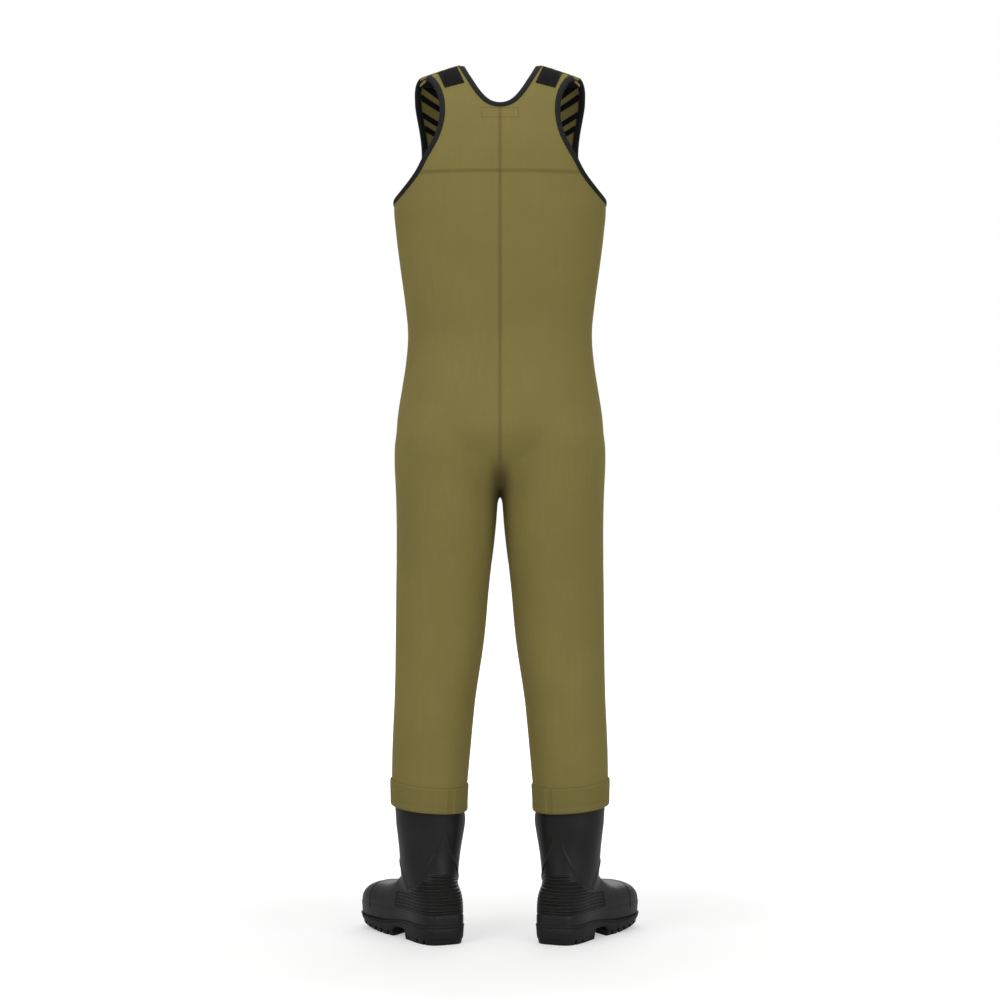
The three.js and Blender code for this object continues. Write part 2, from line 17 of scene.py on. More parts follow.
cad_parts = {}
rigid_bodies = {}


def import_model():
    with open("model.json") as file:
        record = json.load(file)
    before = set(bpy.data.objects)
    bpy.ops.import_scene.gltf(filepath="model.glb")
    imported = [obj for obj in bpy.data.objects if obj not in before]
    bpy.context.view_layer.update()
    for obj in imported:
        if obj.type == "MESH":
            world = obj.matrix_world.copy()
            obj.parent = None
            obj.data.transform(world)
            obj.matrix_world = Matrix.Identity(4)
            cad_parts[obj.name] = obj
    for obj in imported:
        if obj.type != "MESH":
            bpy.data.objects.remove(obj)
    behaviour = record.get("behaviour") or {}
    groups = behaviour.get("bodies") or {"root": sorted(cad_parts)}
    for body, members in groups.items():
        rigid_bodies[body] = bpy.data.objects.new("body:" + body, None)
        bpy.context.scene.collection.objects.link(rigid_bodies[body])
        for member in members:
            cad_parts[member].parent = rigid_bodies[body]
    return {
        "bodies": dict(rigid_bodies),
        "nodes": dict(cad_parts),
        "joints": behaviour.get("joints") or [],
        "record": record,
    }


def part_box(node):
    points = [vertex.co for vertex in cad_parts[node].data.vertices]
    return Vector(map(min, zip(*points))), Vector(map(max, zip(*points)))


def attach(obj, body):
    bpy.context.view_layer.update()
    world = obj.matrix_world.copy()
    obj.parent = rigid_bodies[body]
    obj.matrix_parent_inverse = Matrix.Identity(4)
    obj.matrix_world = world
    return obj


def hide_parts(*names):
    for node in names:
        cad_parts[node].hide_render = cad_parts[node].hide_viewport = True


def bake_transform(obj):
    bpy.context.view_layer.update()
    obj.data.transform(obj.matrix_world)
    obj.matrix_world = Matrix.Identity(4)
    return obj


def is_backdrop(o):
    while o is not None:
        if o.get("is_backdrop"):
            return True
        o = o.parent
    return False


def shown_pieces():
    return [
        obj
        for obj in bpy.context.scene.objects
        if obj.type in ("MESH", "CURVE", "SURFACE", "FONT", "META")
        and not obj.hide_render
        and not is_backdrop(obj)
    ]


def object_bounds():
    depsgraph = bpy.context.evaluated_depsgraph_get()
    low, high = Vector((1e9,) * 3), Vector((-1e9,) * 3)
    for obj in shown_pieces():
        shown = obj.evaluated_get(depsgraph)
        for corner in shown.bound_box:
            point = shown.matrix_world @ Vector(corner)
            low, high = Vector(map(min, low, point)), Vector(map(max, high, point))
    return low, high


for leftover in list(bpy.data.objects):
    bpy.data.objects.remove(leftover)
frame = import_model()
cad_low, cad_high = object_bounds()
SIDES = (("left", -1), ("right", 1))
print("frame holds", len(frame["nodes"]), "nodes,", tuple(round(v, 3) for v in cad_high - cad_low))

# %% [markdown]
# The camera stands level behind the waders, at half their height, far enough back that the legs don't
# splay. The light is soft: two large panels beside the camera, one overhead, one in front of the wearer and
# an even surround, which is how a cut-out catalogue picture is lit. The surround and the floor look white to
# the camera but light the waders only a little, so the boots stay black.

# %% Camera, floor and light
CAMERA_BACK = 4.75
FIELD_OF_VIEW = math.radians(20.6)
FLOOR_SIZE = 60.0
FLOOR_NEAR, FLOOR_FAR = 0.35, 2.2
SURROUND = 0.42


def look_at(obj, target):
    """Turns obj's -Z axis towards target."""
    obj.rotation_euler = (Vector(target) - obj.location).to_track_quat("-Z", "Y").to_euler()


def add_light(name, place, target, size, power):
    data = bpy.data.lights.new(name, "AREA")
    data.shape = "RECTANGLE"
    data.size, data.size_y = size
    data.energy = power
    light = bpy.data.objects.new(name, data)
    bpy.context.scene.collection.objects.link(light)
    light.location = place
    look_at(light, target)


middle = Vector((0, 0, cad_high.z / 2))
camera_data = bpy.data.cameras.new("camera")
camera_data.sensor_fit = "HORIZONTAL"
camera_data.angle = FIELD_OF_VIEW
camera = bpy.data.objects.new("camera", camera_data)
bpy.context.scene.collection.objects.link(camera)
camera.location = middle + Vector((0, -CAMERA_BACK, 0))
look_at(camera, middle)
bpy.context.scene.camera = camera

add_light("key", (-2.2, -3.2, 2.9), (0, 0, 0.9), (2.4, 2.4), 62)
add_light("fill", (2.4, -3.2, 1.8), (0, 0, 0.7), (2.6, 2.6), 44)
add_light("top", (0, 0.2, 4.2), (0, 0, 0), (3.0, 3.0), 42)
add_light("front", (0.4, 3.6, 2.2), (0, 0, 0.8), (3.0, 2.4), 42)

world = bpy.data.worlds.new("surround")
world.use_nodes = True
background = world.node_tree.nodes["Background"]
background.inputs["Color"].default_value = (1, 1, 1, 1)
path = world.node_tree.nodes.new("ShaderNodeLightPath")
seen = world.node_tree.nodes.new("ShaderNodeMapRange")
seen.inputs["To Min"].default_value = SURROUND
seen.inputs["To Max"].default_value = 1.0
world.node_tree.links.new(path.outputs["Is Camera Ray"], seen.inputs["Value"])
world.node_tree.links.new(seen.outputs["Result"], background.inputs["Strength"])
bpy.context.scene.world = world
bpy.context.scene.view_settings.view_transform = "Standard"

floor_mesh = bpy.data.meshes.new("floor")
bm = bmesh.new()
bmesh.ops.create_grid(bm, x_segments=1, y_segments=1, size=FLOOR_SIZE / 2)
bm.to_mesh(floor_mesh)
bm.free()
floor = bpy.data.objects.new("floor", floor_mesh)
bpy.context.scene.collection.objects.link(floor)
floor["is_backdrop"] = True
print("camera at", tuple(round(v, 2) for v in camera.location))

# %% [markdown]
# The frame's solids are coarse, but they are the right size. Rays cast at them give the girth of the body
# and legs at any height, so the smooth garment is lofted through the same sizes.

# %% Measure the frame
BODY_NODES = [f"{part}_{side}" for side, _ in SIDES for part in ("body_panel", "back_yoke", "hip_panel")]
LEG_NODES = [f"{part}_{side}" for side, _ in SIDES
             for part in ("hip_panel", "thigh_panel", "knee_panel", "shin_panel")]
FAR = 2.0


def surface_of(names):
    """One ray target made of several CAD nodes."""
    bm = bmesh.new()
    for name in names:
        bm.from_mesh(frame["nodes"][name].data)
    tree = BVHTree.FromBMesh(bm)
    bm.free()
    return tree


def hit(tree, start, direction):
    place, *_ = tree.ray_cast(Vector(start), Vector(direction), 2 * FAR)
    return place


tape_low, tape_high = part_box("boot_seal_tape_left")
MID_Y = (tape_low.y + tape_high.y) / 2
YOKE_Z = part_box("back_yoke_left")[0].z
SHOULDER_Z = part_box("back_yoke_left")[1].z
CHEST_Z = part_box("front_strap_left")[0].z
ARM_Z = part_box("armhole_binding_left")[0].z
HIP_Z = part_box("hip_panel_left")[1].z
CUFF_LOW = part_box("cuff_left")[0].z
LEG_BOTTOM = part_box("shin_panel_left")[0].z
body_tree = surface_of(BODY_NODES)
leg_tree = surface_of(LEG_NODES)


def body_station(z):
    """Half width, reach back and reach forward of the body at height z."""
    side = hit(body_tree, (FAR, MID_Y, z), (-1, 0, 0)).x
    back = MID_Y - hit(body_tree, (0.004, -FAR, z), (0, 1, 0)).y
    front = hit(body_tree, (0.004, FAR, z), (0, -1, 0)).y - MID_Y
    return side, back, front


def leg_station(z):
    """Middle, half width, reach back and reach forward of the right leg at height z."""
    outer = hit(leg_tree, (FAR, MID_Y, z), (-1, 0, 0)).x
    inner = hit(leg_tree, (0, MID_Y, z), (1, 0, 0)).x
    centre = (outer + inner) / 2
    back = MID_Y - hit(leg_tree, (centre, -FAR, z), (0, 1, 0)).y
    front = hit(leg_tree, (centre, FAR, z), (0, -1, 0)).y - MID_Y
    return centre, (outer - inner) / 2, back, front


print("chest", body_station(ARM_Z - 0.02), "shin", leg_station(0.35))

# %% [markdown]
# The suit starts as three closed forms: the body, with an arch over the shoulders, and two legs. A loft is a
# circle whose edge is extruded again and again, each new ring being placed on the measured sizes. The ring is
# a rounded oblong rather than an ellipse, because a clothed back is flat in the middle.

# %% Loft the body and legs
RING_SIDES = 96
BODY_SQUARENESS = 2.3
LEG_SQUARENESS = 2.1
ARCH_POWER = 1.6
SHOULDER_SLOPE = 0.33
NECK_POINT = 0.068
CROTCH_Z = 0.768
FORK_Z = 0.777
LEG_TOP_Z = 0.905
HIP_BULGE_Z = 0.848
LEG_GAP = 0.0038
LEG_TOP_CENTRE, LEG_TOP_HALF, LEG_TOP_SHARE = 0.087, 0.08, 0.86
HIP_BULGE_SHARE = 0.95
BODY_FOOT_Z = FORK_Z - 0.002
FORK_TOP_Z = 0.842
FORK_TOP_SHARES = (0.985, 0.92, 0.92)


def oblong(turn, centre, half_width, back, front, squareness, z):
    """The point at one turn, from 0 to 1, of a rounded oblong ring."""
    angle = (turn + 0.5 / RING_SIDES) * 2 * math.pi
    cos, sin = math.cos(angle), math.sin(angle)
    x = math.copysign(abs(cos) ** (2 / squareness), cos) * half_width
    y = math.copysign(abs(sin) ** (2 / squareness), sin) * (front if sin > 0 else back)
    return Vector((centre + x, MID_Y + y, z))


def loft(rings, count=RING_SIDES):
    """A closed bmesh through rings, each a function from a turn, 0 to 1, to a point."""
    bm = bmesh.new()
    place = bm.verts.layers.int.new("place")
    verts = bmesh.ops.create_circle(bm, cap_ends=True, segments=count, radius=1)["verts"]
    for i, vert in enumerate(verts):
        vert[place] = i
    edges = list(bm.edges)
    for number, ring in enumerate(rings):
        if number:
            grown = bmesh.ops.extrude_edge_only(bm, edges=edges)["geom"]
            verts = [g for g in grown if isinstance(g, bmesh.types.BMVert)]
            fresh = set(verts)
            edges = [g for g in grown if isinstance(g, bmesh.types.BMEdge) and set(g.verts) <= fresh]
        for vert in verts:
            vert.co = ring(vert[place] / count)
    bmesh.ops.contextual_create(bm, geom=edges)
    bmesh.ops.recalc_face_normals(bm, faces=bm.faces)
    return bm


def smooth_table(samples):
    """Turns (height, values) samples into a function of height that passes smoothly through them."""
    def read(z):
        z = min(max(z, samples[0][0]), samples[-1][0])
        row = max(i for i in range(len(samples) - 1) if samples[i][0] <= z)
        (z0, low), (z1, high) = samples[row], samples[row + 1]
        t = (z - z0) / (z1 - z0)
        before = samples[max(row - 1, 0)]
        after = samples[min(row + 2, len(samples) - 1)]
        found = []
        for k in range(len(low)):
            m0 = (high[k] - before[1][k]) / (z1 - before[0]) * (z1 - z0)
            m1 = (after[1][k] - low[k]) / (after[0] - z0) * (z1 - z0)
            found.append((2 * t**3 - 3 * t**2 + 1) * low[k] + (t**3 - 2 * t**2 + t) * m0
                         + (3 * t**2 - 2 * t**3) * high[k] + (t**3 - t**2) * m1)
        return found
    return read


def steps(low, high, count):
    return [low + (high - low) * i / count for i in range(count + 1)]


CHEST_TOP = ARM_Z - 0.008
body_heights = [HIP_Z + 0.004, 0.87, 0.9, 0.94, 0.985, 1.035, 1.085, 1.14, 1.19, 1.225, CHEST_TOP]
body_rows = [(z, body_station(z)) for z in body_heights]
hip_row = body_rows[0][1]
chest_row = body_rows[-1][1]
yoke_back = MID_Y - hit(body_tree, (0.004, -FAR, YOKE_Z + 0.004), (0, 1, 0)).y
front_top = CHEST_Z - 0.045
yoke_front = hit(body_tree, (0.004, FAR, front_top), (0, -1, 0)).y - MID_Y
fork_rows = [(BODY_FOOT_Z, (hip_row[0] * 0.7, 0.03, 0.03)),
             (FORK_Z + 0.015, (hip_row[0] * 0.93, 0.072, 0.068)),
             (FORK_TOP_Z, tuple(size * share for size, share in zip(hip_row, FORK_TOP_SHARES)))]
body_rows = fork_rows + body_rows[1:] + [(YOKE_Z, (chest_row[0], yoke_back, yoke_front))]
read_body = smooth_table(body_rows)
leg_rows = [(z, leg_station(z)) for z in steps(LEG_BOTTOM + 0.01, 0.75, 12)]
half_hip = hip_row[0] / 2
leg_rows.append((HIP_BULGE_Z, (half_hip + 0.001, half_hip - 0.0015,
                               hip_row[1] * HIP_BULGE_SHARE, hip_row[2] * HIP_BULGE_SHARE)))
leg_rows.append((LEG_TOP_Z, (LEG_TOP_CENTRE, LEG_TOP_HALF,
                             hip_row[1] * LEG_TOP_SHARE, hip_row[2] * LEG_TOP_SHARE)))
for i, (z, (centre, width, back, front)) in enumerate(leg_rows):
    short = max(LEG_GAP - (centre - width), 0) / 2
    leg_rows[i] = (z, (centre + short, width - short, back, front))
read_leg = smooth_table(leg_rows)


def body_ring(z):
    width, back, front = read_body(z)
    return lambda turn: oblong(turn, 0, width, back, front, BODY_SQUARENESS, z)


def arch_ring(rise):
    """A ring of the arch over the shoulders; rise goes from 0 at the yoke seam to 1 at the ridge."""
    angle = rise * math.pi / 2
    depth = math.cos(angle) ** (2 / ARCH_POWER)
    height = math.sin(angle) ** (2 / ARCH_POWER)
    width, back, front = read_body(YOKE_Z)

    def ring(turn):
        point = oblong(turn, 0, width, back * depth, front * depth, BODY_SQUARENESS, 0)
        drop = SHOULDER_SLOPE * max(abs(point.x) - NECK_POINT, 0) * height**2
        point.z = YOKE_Z + (SHOULDER_Z - YOKE_Z) * height - drop
        return point
    return ring


def leg_ring(z, side):
    centre, width, back, front = read_leg(z)
    return lambda turn: oblong(turn, centre * side, width, back, front, LEG_SQUARENESS, z)


def join(*meshes):
    """One bmesh holding the given ones."""
    whole = bmesh.new()
    for part in meshes:
        carrier = bpy.data.meshes.new("carrier")
        part.to_mesh(carrier)
        part.free()
        whole.from_mesh(carrier)
        bpy.data.meshes.remove(carrier)
    return whole


arch_rises = [1 - (1 - t) ** 1.5 for t in steps(0, 0.985, 24)][1:]
body_rings = [body_ring(z) for z in steps(BODY_FOOT_Z, YOKE_Z, 56)]
body_form = loft(body_rings + [arch_ring(t) for t in arch_rises])
leg_forms = [loft([leg_ring(z, side) for z in steps(LEG_BOTTOM - 0.03, LEG_TOP_Z, 60)]) for _, side in SIDES]
form = join(body_form, *leg_forms)
print("forms have", len(form.faces), "faces")

# %% [markdown]
# Three forms that run through each other become one skin with a voxel remesh, which is the quickest way to
# a crotch that flows from one leg into the other. Relaxing the points afterwards takes out the voxel steps,
# and the points near the crotch are relaxed for longer, so that the fork is soft.

# %% One skin
VOXEL = 0.0045
RELAX_ALL = 10
RELAX_FORK = 22
FORK_REACH = 0.09


def new_object(name, bm):
    """Makes an object from a bmesh, at the origin, shaded smooth except at sharp corners."""
    data = bpy.data.meshes.new(name)
    bm.to_mesh(data)
    bm.free()
    obj = bpy.data.objects.new(name, data)
    bpy.context.scene.collection.objects.link(obj)
    data.shade_smooth()
    data.set_sharp_from_angle(angle=math.radians(50))
    return obj


def bake(obj):
    """Applies obj's modifiers and returns the result as a bmesh; obj itself is removed."""
    graph = bpy.context.evaluated_depsgraph_get()
    bm = bmesh.new()
    bm.from_object(obj, graph)
    bpy.data.objects.remove(obj)
    return bm


def remeshed(name, bm, voxel):
    """Closed forms that run through each other, made into one skin of even faces."""
    obj = new_object(name, bm)
    remesh = obj.modifiers.new("voxels", "REMESH")
    remesh.mode = "VOXEL"
    remesh.voxel_size = voxel
    return bake(obj)


def relax(bm, verts, rounds):
    """Draws each point towards the middle of its neighbours."""
    for _ in range(rounds):
        bmesh.ops.smooth_vert(bm, verts=verts, factor=0.5, use_axis_x=True, use_axis_y=True,
                              use_axis_z=True)


skin = remeshed("skin", form, VOXEL)
relax(skin, skin.verts, RELAX_ALL)
fork = [v for v in skin.verts if abs(v.co.x) < FORK_REACH / 2 and abs(v.co.z - CROTCH_Z) < FORK_REACH]
relax(skin, fork, RELAX_FORK)
skin.normal_update()
skin_tree = BVHTree.FromBMesh(skin)
print("skin has", len(skin.faces), "faces")

# %% [markdown]
# The neck and the armholes are cut with solid cutters. Each cutter's outline is different behind and in front
# of the shoulder, because this back is cut away further than the chest. What the cut leaves is a surface with
# clean open edges; the caps that the cutters leave are found by their material number and deleted.

# %% Cut the neck and armholes
OUTLINE_STEPS = 90
CUT_TOP = SHOULDER_Z + 0.012
# Edges as (half width, height), in metres, from the middle or the top outwards.
BACK_NECK = [(0, 1.4215), (0.017, 1.4265), (0.033, 1.443), (0.048, 1.4675), (0.059, 1.488), (0.067, CUT_TOP)]
FRONT_NECK = [(0, 1.306), (0.03, 1.311), (0.05, 1.332), (0.06, 1.366), (0.065, 1.41), (0.067, 1.46),
              (0.067, CUT_TOP)]
BACK_ARM = [(0.197, 1.2455), (0.186, 1.26), (0.172, 1.272), (0.1565, 1.2885), (0.1417, 1.3075),
            (0.129, 1.3315), (0.1165, 1.3525), (0.1085, 1.369), (0.1028, 1.389), (0.1008, 1.4065),
            (0.1018, 1.427), (0.107, 1.4465), (0.1155, 1.4635), (0.1245, 1.474), (0.133, 1.4805),
            (0.138, 1.49), (0.14, CUT_TOP)]
FRONT_ARM = [(0.197, 1.2455), (0.186, 1.26), (0.172, 1.272), (0.1565, 1.2865), (0.1445, 1.303),
             (0.138, 1.326), (0.1355, 1.355), (0.138, 1.384), (0.1425, 1.41), (0.146, 1.432),
             (0.1458, 1.448), (0.142, 1.4605), (0.135, 1.4695), (0.125, 1.4765), (0.113, 1.484),
             (0.1, 1.4945), (0.094, CUT_TOP)]


def smooth_line(points, count):
    """Points evenly spaced along a smooth curve through the given ones."""
    points = [Vector(p) for p in points]
    ends = [2 * points[0] - points[1]] + points + [2 * points[-1] - points[-2]]
    fine = []
    for i in range(1, len(ends) - 2):
        a, b, c, d = ends[i - 1:i + 3]
        for t in steps(0, 1, 24)[:-1]:
            fine.append(0.5 * (2 * b + (c - a) * t + (2 * a - 5 * b + 4 * c - d) * t**2
                               + (3 * b - a - 3 * c + d) * t**3))
    fine.append(points[-1])
    return even_points(fine, count)


def even_points(points, count):
    """count + 1 points at equal distances along a line of points."""
    lengths = [0.0]
    for a, b in zip(points, points[1:]):
        lengths.append(lengths[-1] + (b - a).length)
    found, at = [], 0
    for want in steps(0, lengths[-1], count):
        while at < len(points) - 2 and lengths[at + 1] < want:
            at += 1
        span = max(lengths[at + 1] - lengths[at], 1e-9)
        found.append(points[at].lerp(points[at + 1], min((want - lengths[at]) / span, 1)))
    return found


def cutter(back, front, side=None):
    """A solid that cuts one outline through the back and another through the front."""
    def outline(points):
        line = smooth_line(points, OUTLINE_STEPS)
        if side is None:
            return [Vector((-p.x, p.y)) for p in reversed(line[1:])] + line
        closed = [Vector((FAR, line[0].y))] + line + [Vector((FAR, line[-1].y))]
        return [Vector((p.x * side, p.y)) for p in closed]
    behind, ahead = outline(back), outline(front)
    ridge = 0.003
    layers = [(behind, -FAR), (behind, MID_Y - ridge), (ahead, MID_Y + ridge), (ahead, FAR)]
    count = len(behind)

    def ring(points, y):
        def place(turn):
            point = points[round(turn * count) % count]
            return Vector((point.x, y, point.y))
        return place
    return loft([ring(points, y) for points, y in layers], count)


def carve(target, tool, **settings):
    """What is left of one object when another's solid is cut out of it; both objects are removed."""
    cut = target.modifiers.new("cut", "BOOLEAN")
    cut.operation = "DIFFERENCE"
    cut.solver = "EXACT"
    for key, value in settings.items():
        setattr(cut, key, value)
    cut.object = tool
    left = bake(target)
    bpy.data.objects.remove(tool)
    return left


def trim(bm, height, way):
    """Cuts a bmesh off level, above the height where way is 1 and below it where way is -1."""
    bmesh.ops.bisect_plane(bm, geom=bm.verts[:] + bm.edges[:] + bm.faces[:], plane_co=(0, 0, height),
                           plane_no=(0, 0, way), clear_outer=True)


cutters = join(cutter(BACK_NECK, FRONT_NECK), *[cutter(BACK_ARM, FRONT_ARM, side) for _, side in SIDES])
cutter_object = new_object("cutters", cutters)
cutter_object.data.materials.append(bpy.data.materials.new("cut cap"))
skin_object = new_object("skin", skin)
skin_object.data.materials.append(bpy.data.materials.new("cloth side"))
skin_object.data.materials.append(bpy.data.materials["cut cap"])
suit = carve(skin_object, cutter_object, material_mode="TRANSFER")
caps = [f for f in suit.faces if f.material_index == 1]
bmesh.ops.delete(suit, geom=caps, context="FACES")
LEG_END = LEG_BOTTOM + 0.008
trim(suit, LEG_END, -1)
rims = [e for e in suit.edges if e.is_boundary]
print("suit has", len(suit.faces), "faces and", len(rims), "rim edges;", len(caps), "caps went")

# %% [markdown]
# The open edges are walked into ordered lines. Tape will follow them, so each point also needs the way the
# cloth faces, which comes from the uncut skin.

# %% Walk the open edges
RIM_STEP = 0.004


def chain(edges):
    """Groups boundary edges into closed lines of points."""
    links = {}
    for edge in edges:
        a, b = edge.verts
        links.setdefault(a, []).append(b)
        links.setdefault(b, []).append(a)
    loops, left = [], set(links)
    while left:
        start = at = next(iter(left))
        loop, last = [], None
        while at in left:
            left.discard(at)
            loop.append(at.co.copy())
            ahead = [v for v in links[at] if v is not last and v in left]
            last, at = at, (ahead[0] if ahead else start)
        loops.append(loop)
    return sorted(loops, key=len, reverse=True)


def soften(points, rounds):
    """Evens out small steps in a closed line."""
    for _ in range(rounds):
        points = [(points[i - 1] + points[i] * 2 + points[(i + 1) % len(points)]) / 4
                  for i in range(len(points))]
    return points


def facing(point):
    """The outward direction of the cloth nearest to a point."""
    return skin_tree.find_nearest(point)[1]


loops = [loop for loop in chain(rims) if len(loop) > 40]
upper = [loop for loop in loops if min(p.z for p in loop) > 1.0]
rim_lines = {}
for loop in upper:
    length = sum((a - b).length for a, b in zip(loop, loop[1:] + loop[:1]))
    even = even_points(loop + loop[:1], round(length / RIM_STEP))[:-1]
    middle_x = sum(p.x for p in even) / len(even)
    name = "neck" if abs(middle_x) < 0.03 else ("arm_left" if middle_x < 0 else "arm_right")
    rim_lines[name] = soften(even, 4)
for name, line in sorted(rim_lines.items()):
    heights = [p.z for p in line]
    print(name, len(line), "points, z", round(min(heights), 3), "to", round(max(heights), 3))

# %% [markdown]
# The suit is now divided where the real one is: a seam down the middle, a yoke seam across the back, and the
# chest line that the front straps fold on. Two more cuts, at mid-thigh and just in front of the shoulder
# ridge, divide it where the real one has no seam. Each piece is then given the neoprene's thickness.

# %% Cut the panels out
PANEL = 0.005
SPLIT_Z = 0.585
TIP_Y = MID_Y + 0.014
TONGUE_Z = 1.466
STRAP_LIFT = 0.0095
LIFT_START, LIFT_END = 1.44, 1.468
YOKE_CUT = YOKE_Z - 0.0175


def ease(low, high, value):
    t = min(max((value - low) / (high - low), 0), 1)
    return t * t * (3 - 2 * t)


def split(source, planes, keep):
    """A copy of a bmesh, cut along planes, holding only the faces whose middle passes keep."""
    piece = source.copy()
    for place, normal in planes:
        bmesh.ops.bisect_plane(piece, geom=piece.verts[:] + piece.edges[:] + piece.faces[:], plane_co=place,
                               plane_no=normal, dist=1e-7)
    gone = [f for f in piece.faces if not keep(f.calc_center_median())]
    bmesh.ops.delete(piece, geom=gone, context="FACES")
    loose = [v for v in piece.verts if not v.link_faces]
    bmesh.ops.delete(piece, geom=loose, context="VERTS")
    return piece


def thicken(bm, thickness=PANEL):
    """Gives a surface a wall that grows inwards."""
    bmesh.ops.remove_doubles(bm, verts=bm.verts, dist=0.0003)
    bmesh.ops.dissolve_degenerate(bm, edges=bm.edges, dist=0.0003)
    bm.normal_update()
    bmesh.ops.solidify(bm, geom=bm.faces[:], thickness=thickness)
    bmesh.ops.recalc_face_normals(bm, faces=bm.faces)


def strap_shift(point, normal):
    """The front strap's end rides up over the shoulder tongue."""
    return point + normal * STRAP_LIFT * ease(LIFT_START, LIFT_END, point.z)


def in_yoke(p):
    return p.y <= MID_Y and p.z > YOKE_CUT


def in_tongue(p):
    return p.y > MID_Y and p.z > TONGUE_Z


def in_strap(p):
    return p.y > TIP_Y and p.z > CHEST_Z


PLANES = [((0, 0, 0), (1, 0, 0)), ((0, 0, YOKE_CUT), (0, 0, 1)), ((0, MID_Y, 0), (0, 1, 0)),
          ((0, TIP_Y, 0), (0, 1, 0)), ((0, 0, TONGUE_Z), (0, 0, 1)), ((0, 0, CHEST_Z), (0, 0, 1)),
          ((0, 0, SPLIT_Z), (0, 0, 1))]
panels = {}
for name, side in SIDES:
    def own(p, side=side):
        return p.x * side > 0
    yoke = split(suit, PLANES, lambda p: own(p) and (in_yoke(p) or in_tongue(p)))
    body = split(suit, PLANES, lambda p: own(p) and p.z > SPLIT_Z and not (in_yoke(p) or (
        p.y > MID_Y and p.z > CHEST_Z)))
    leg = split(suit, PLANES, lambda p: own(p) and p.z < SPLIT_Z)
    strap = split(suit, PLANES, lambda p: own(p) and in_strap(p))
    for vert in strap.verts:
        vert.co = strap_shift(vert.co, facing(vert.co))
    for kind, bm in (("back_yoke", yoke), ("body", body), ("lower_leg", leg), ("front_strap", strap)):
        thicken(bm)
        panels[f"{kind}_{name}"] = new_object(f"{kind}_cloth_{name}", bm)
for name, obj in panels.items():
    print(name, len(obj.data.polygons), "faces")

# %% [markdown]
# Each finish is a small network of noises and bands. The neoprene is covered with a knitted nylon: rows run
# round the garment and wales run up it, a millimetre apart, over soft blotches and faint upright streaks. A
# seam is a narrow dark line in a wider and fainter band of painted shade, which stands for the dip where the
# stitching pulls the cloth in, and painted shade darkens the cloth at the crotch. The boots' ribs are shaded
# here too: an attribute says where they are, a bump gives them the depth that a mesh of this size can't, and
# painted shade darkens the hollows between them.

# %% Materials
ROW_PITCH = 0.0014
WALE_PITCH = 0.0012
# Half width of the band of painted shade along each seam.
SEAM_PAINTED_SHADE_HALF = 0.0038


class Graph:
    """A short way to build one material's nodes."""

    def __init__(self, name):
        self.material = bpy.data.materials.new(name)
        self.material.use_nodes = True
        self.tree = self.material.node_tree
        self.shader = self.tree.nodes["Principled BSDF"]
        self.place = self.add("ShaderNodeTexCoord")
        self.split = self.add("ShaderNodeSeparateXYZ", Vector=self.place.outputs["Object"])

    def put(self, socket, value):
        if isinstance(value, bpy.types.NodeSocket):
            self.tree.links.new(value, socket)
        else:
            socket.default_value = value

    def add(self, kind, props=None, **inputs):
        made = self.tree.nodes.new(kind)
        for key, value in (props or {}).items():
            setattr(made, key, value)
        for key, value in inputs.items():
            self.put(made.inputs[key.replace("_", " ")], value)
        return made

    def math(self, operation, *values):
        made = self.add("ShaderNodeMath", {"operation": operation})
        for socket, value in zip(made.inputs, values):
            self.put(socket, value)
        return made.outputs[0]

    def noise(self, scale, detail=2.0, stretch=None):
        vector = self.place.outputs["Object"]
        if stretch:
            vector = self.add("ShaderNodeMapping", Vector=vector, Scale=stretch).outputs["Vector"]
        return self.add("ShaderNodeTexNoise", Vector=vector, Scale=scale, Detail=detail).outputs["Fac"]

    def between(self, low, high, value, to_low=0.0, to_high=1.0):
        made = self.add("ShaderNodeMapRange", {"interpolation_type": "SMOOTHSTEP"})
        for key, number in (("Value", value), ("From Min", low), ("From Max", high),
                            ("To Min", to_low), ("To Max", to_high)):
            self.put(made.inputs[key], number)
        return made.outputs["Result"]

    def mix(self, factor, a, b):
        made = self.add("ShaderNodeMix", {"data_type": "RGBA"})
        self.put(made.inputs["Factor"], factor)
        self.put(made.inputs[6], a)
        self.put(made.inputs[7], b)
        return made.outputs[2]

    def mix_value(self, factor, a, b):
        made = self.add("ShaderNodeMix", {"data_type": "FLOAT"})
        self.put(made.inputs["Factor"], factor)
        self.put(made.inputs[2], a)
        self.put(made.inputs[3], b)
        return made.outputs[0]

    def ripple(self, value, pitch):
        """0 to 1 and back, once in each pitch."""
        turned = self.math("MULTIPLY", value, 2 * math.pi / pitch)
        return self.math("MULTIPLY_ADD", self.math("SINE", turned), 0.5, 0.5)

    def bump(self, height, strength, distance, normal=None):
        made = self.add("ShaderNodeBump", Height=height, Strength=strength, Distance=distance)
        if normal:
            self.put(made.inputs["Normal"], normal)
        self.put(self.shader.inputs["Normal"], made.outputs["Normal"])
        return made.outputs["Normal"]

    def finish(self, **inputs):
        for key, value in inputs.items():
            self.put(self.shader.inputs[key.replace("_", " ")], value)
        return self.material


def shade(colour, factor):
    return tuple(c * factor for c in colour[:3]) + (1.0,)


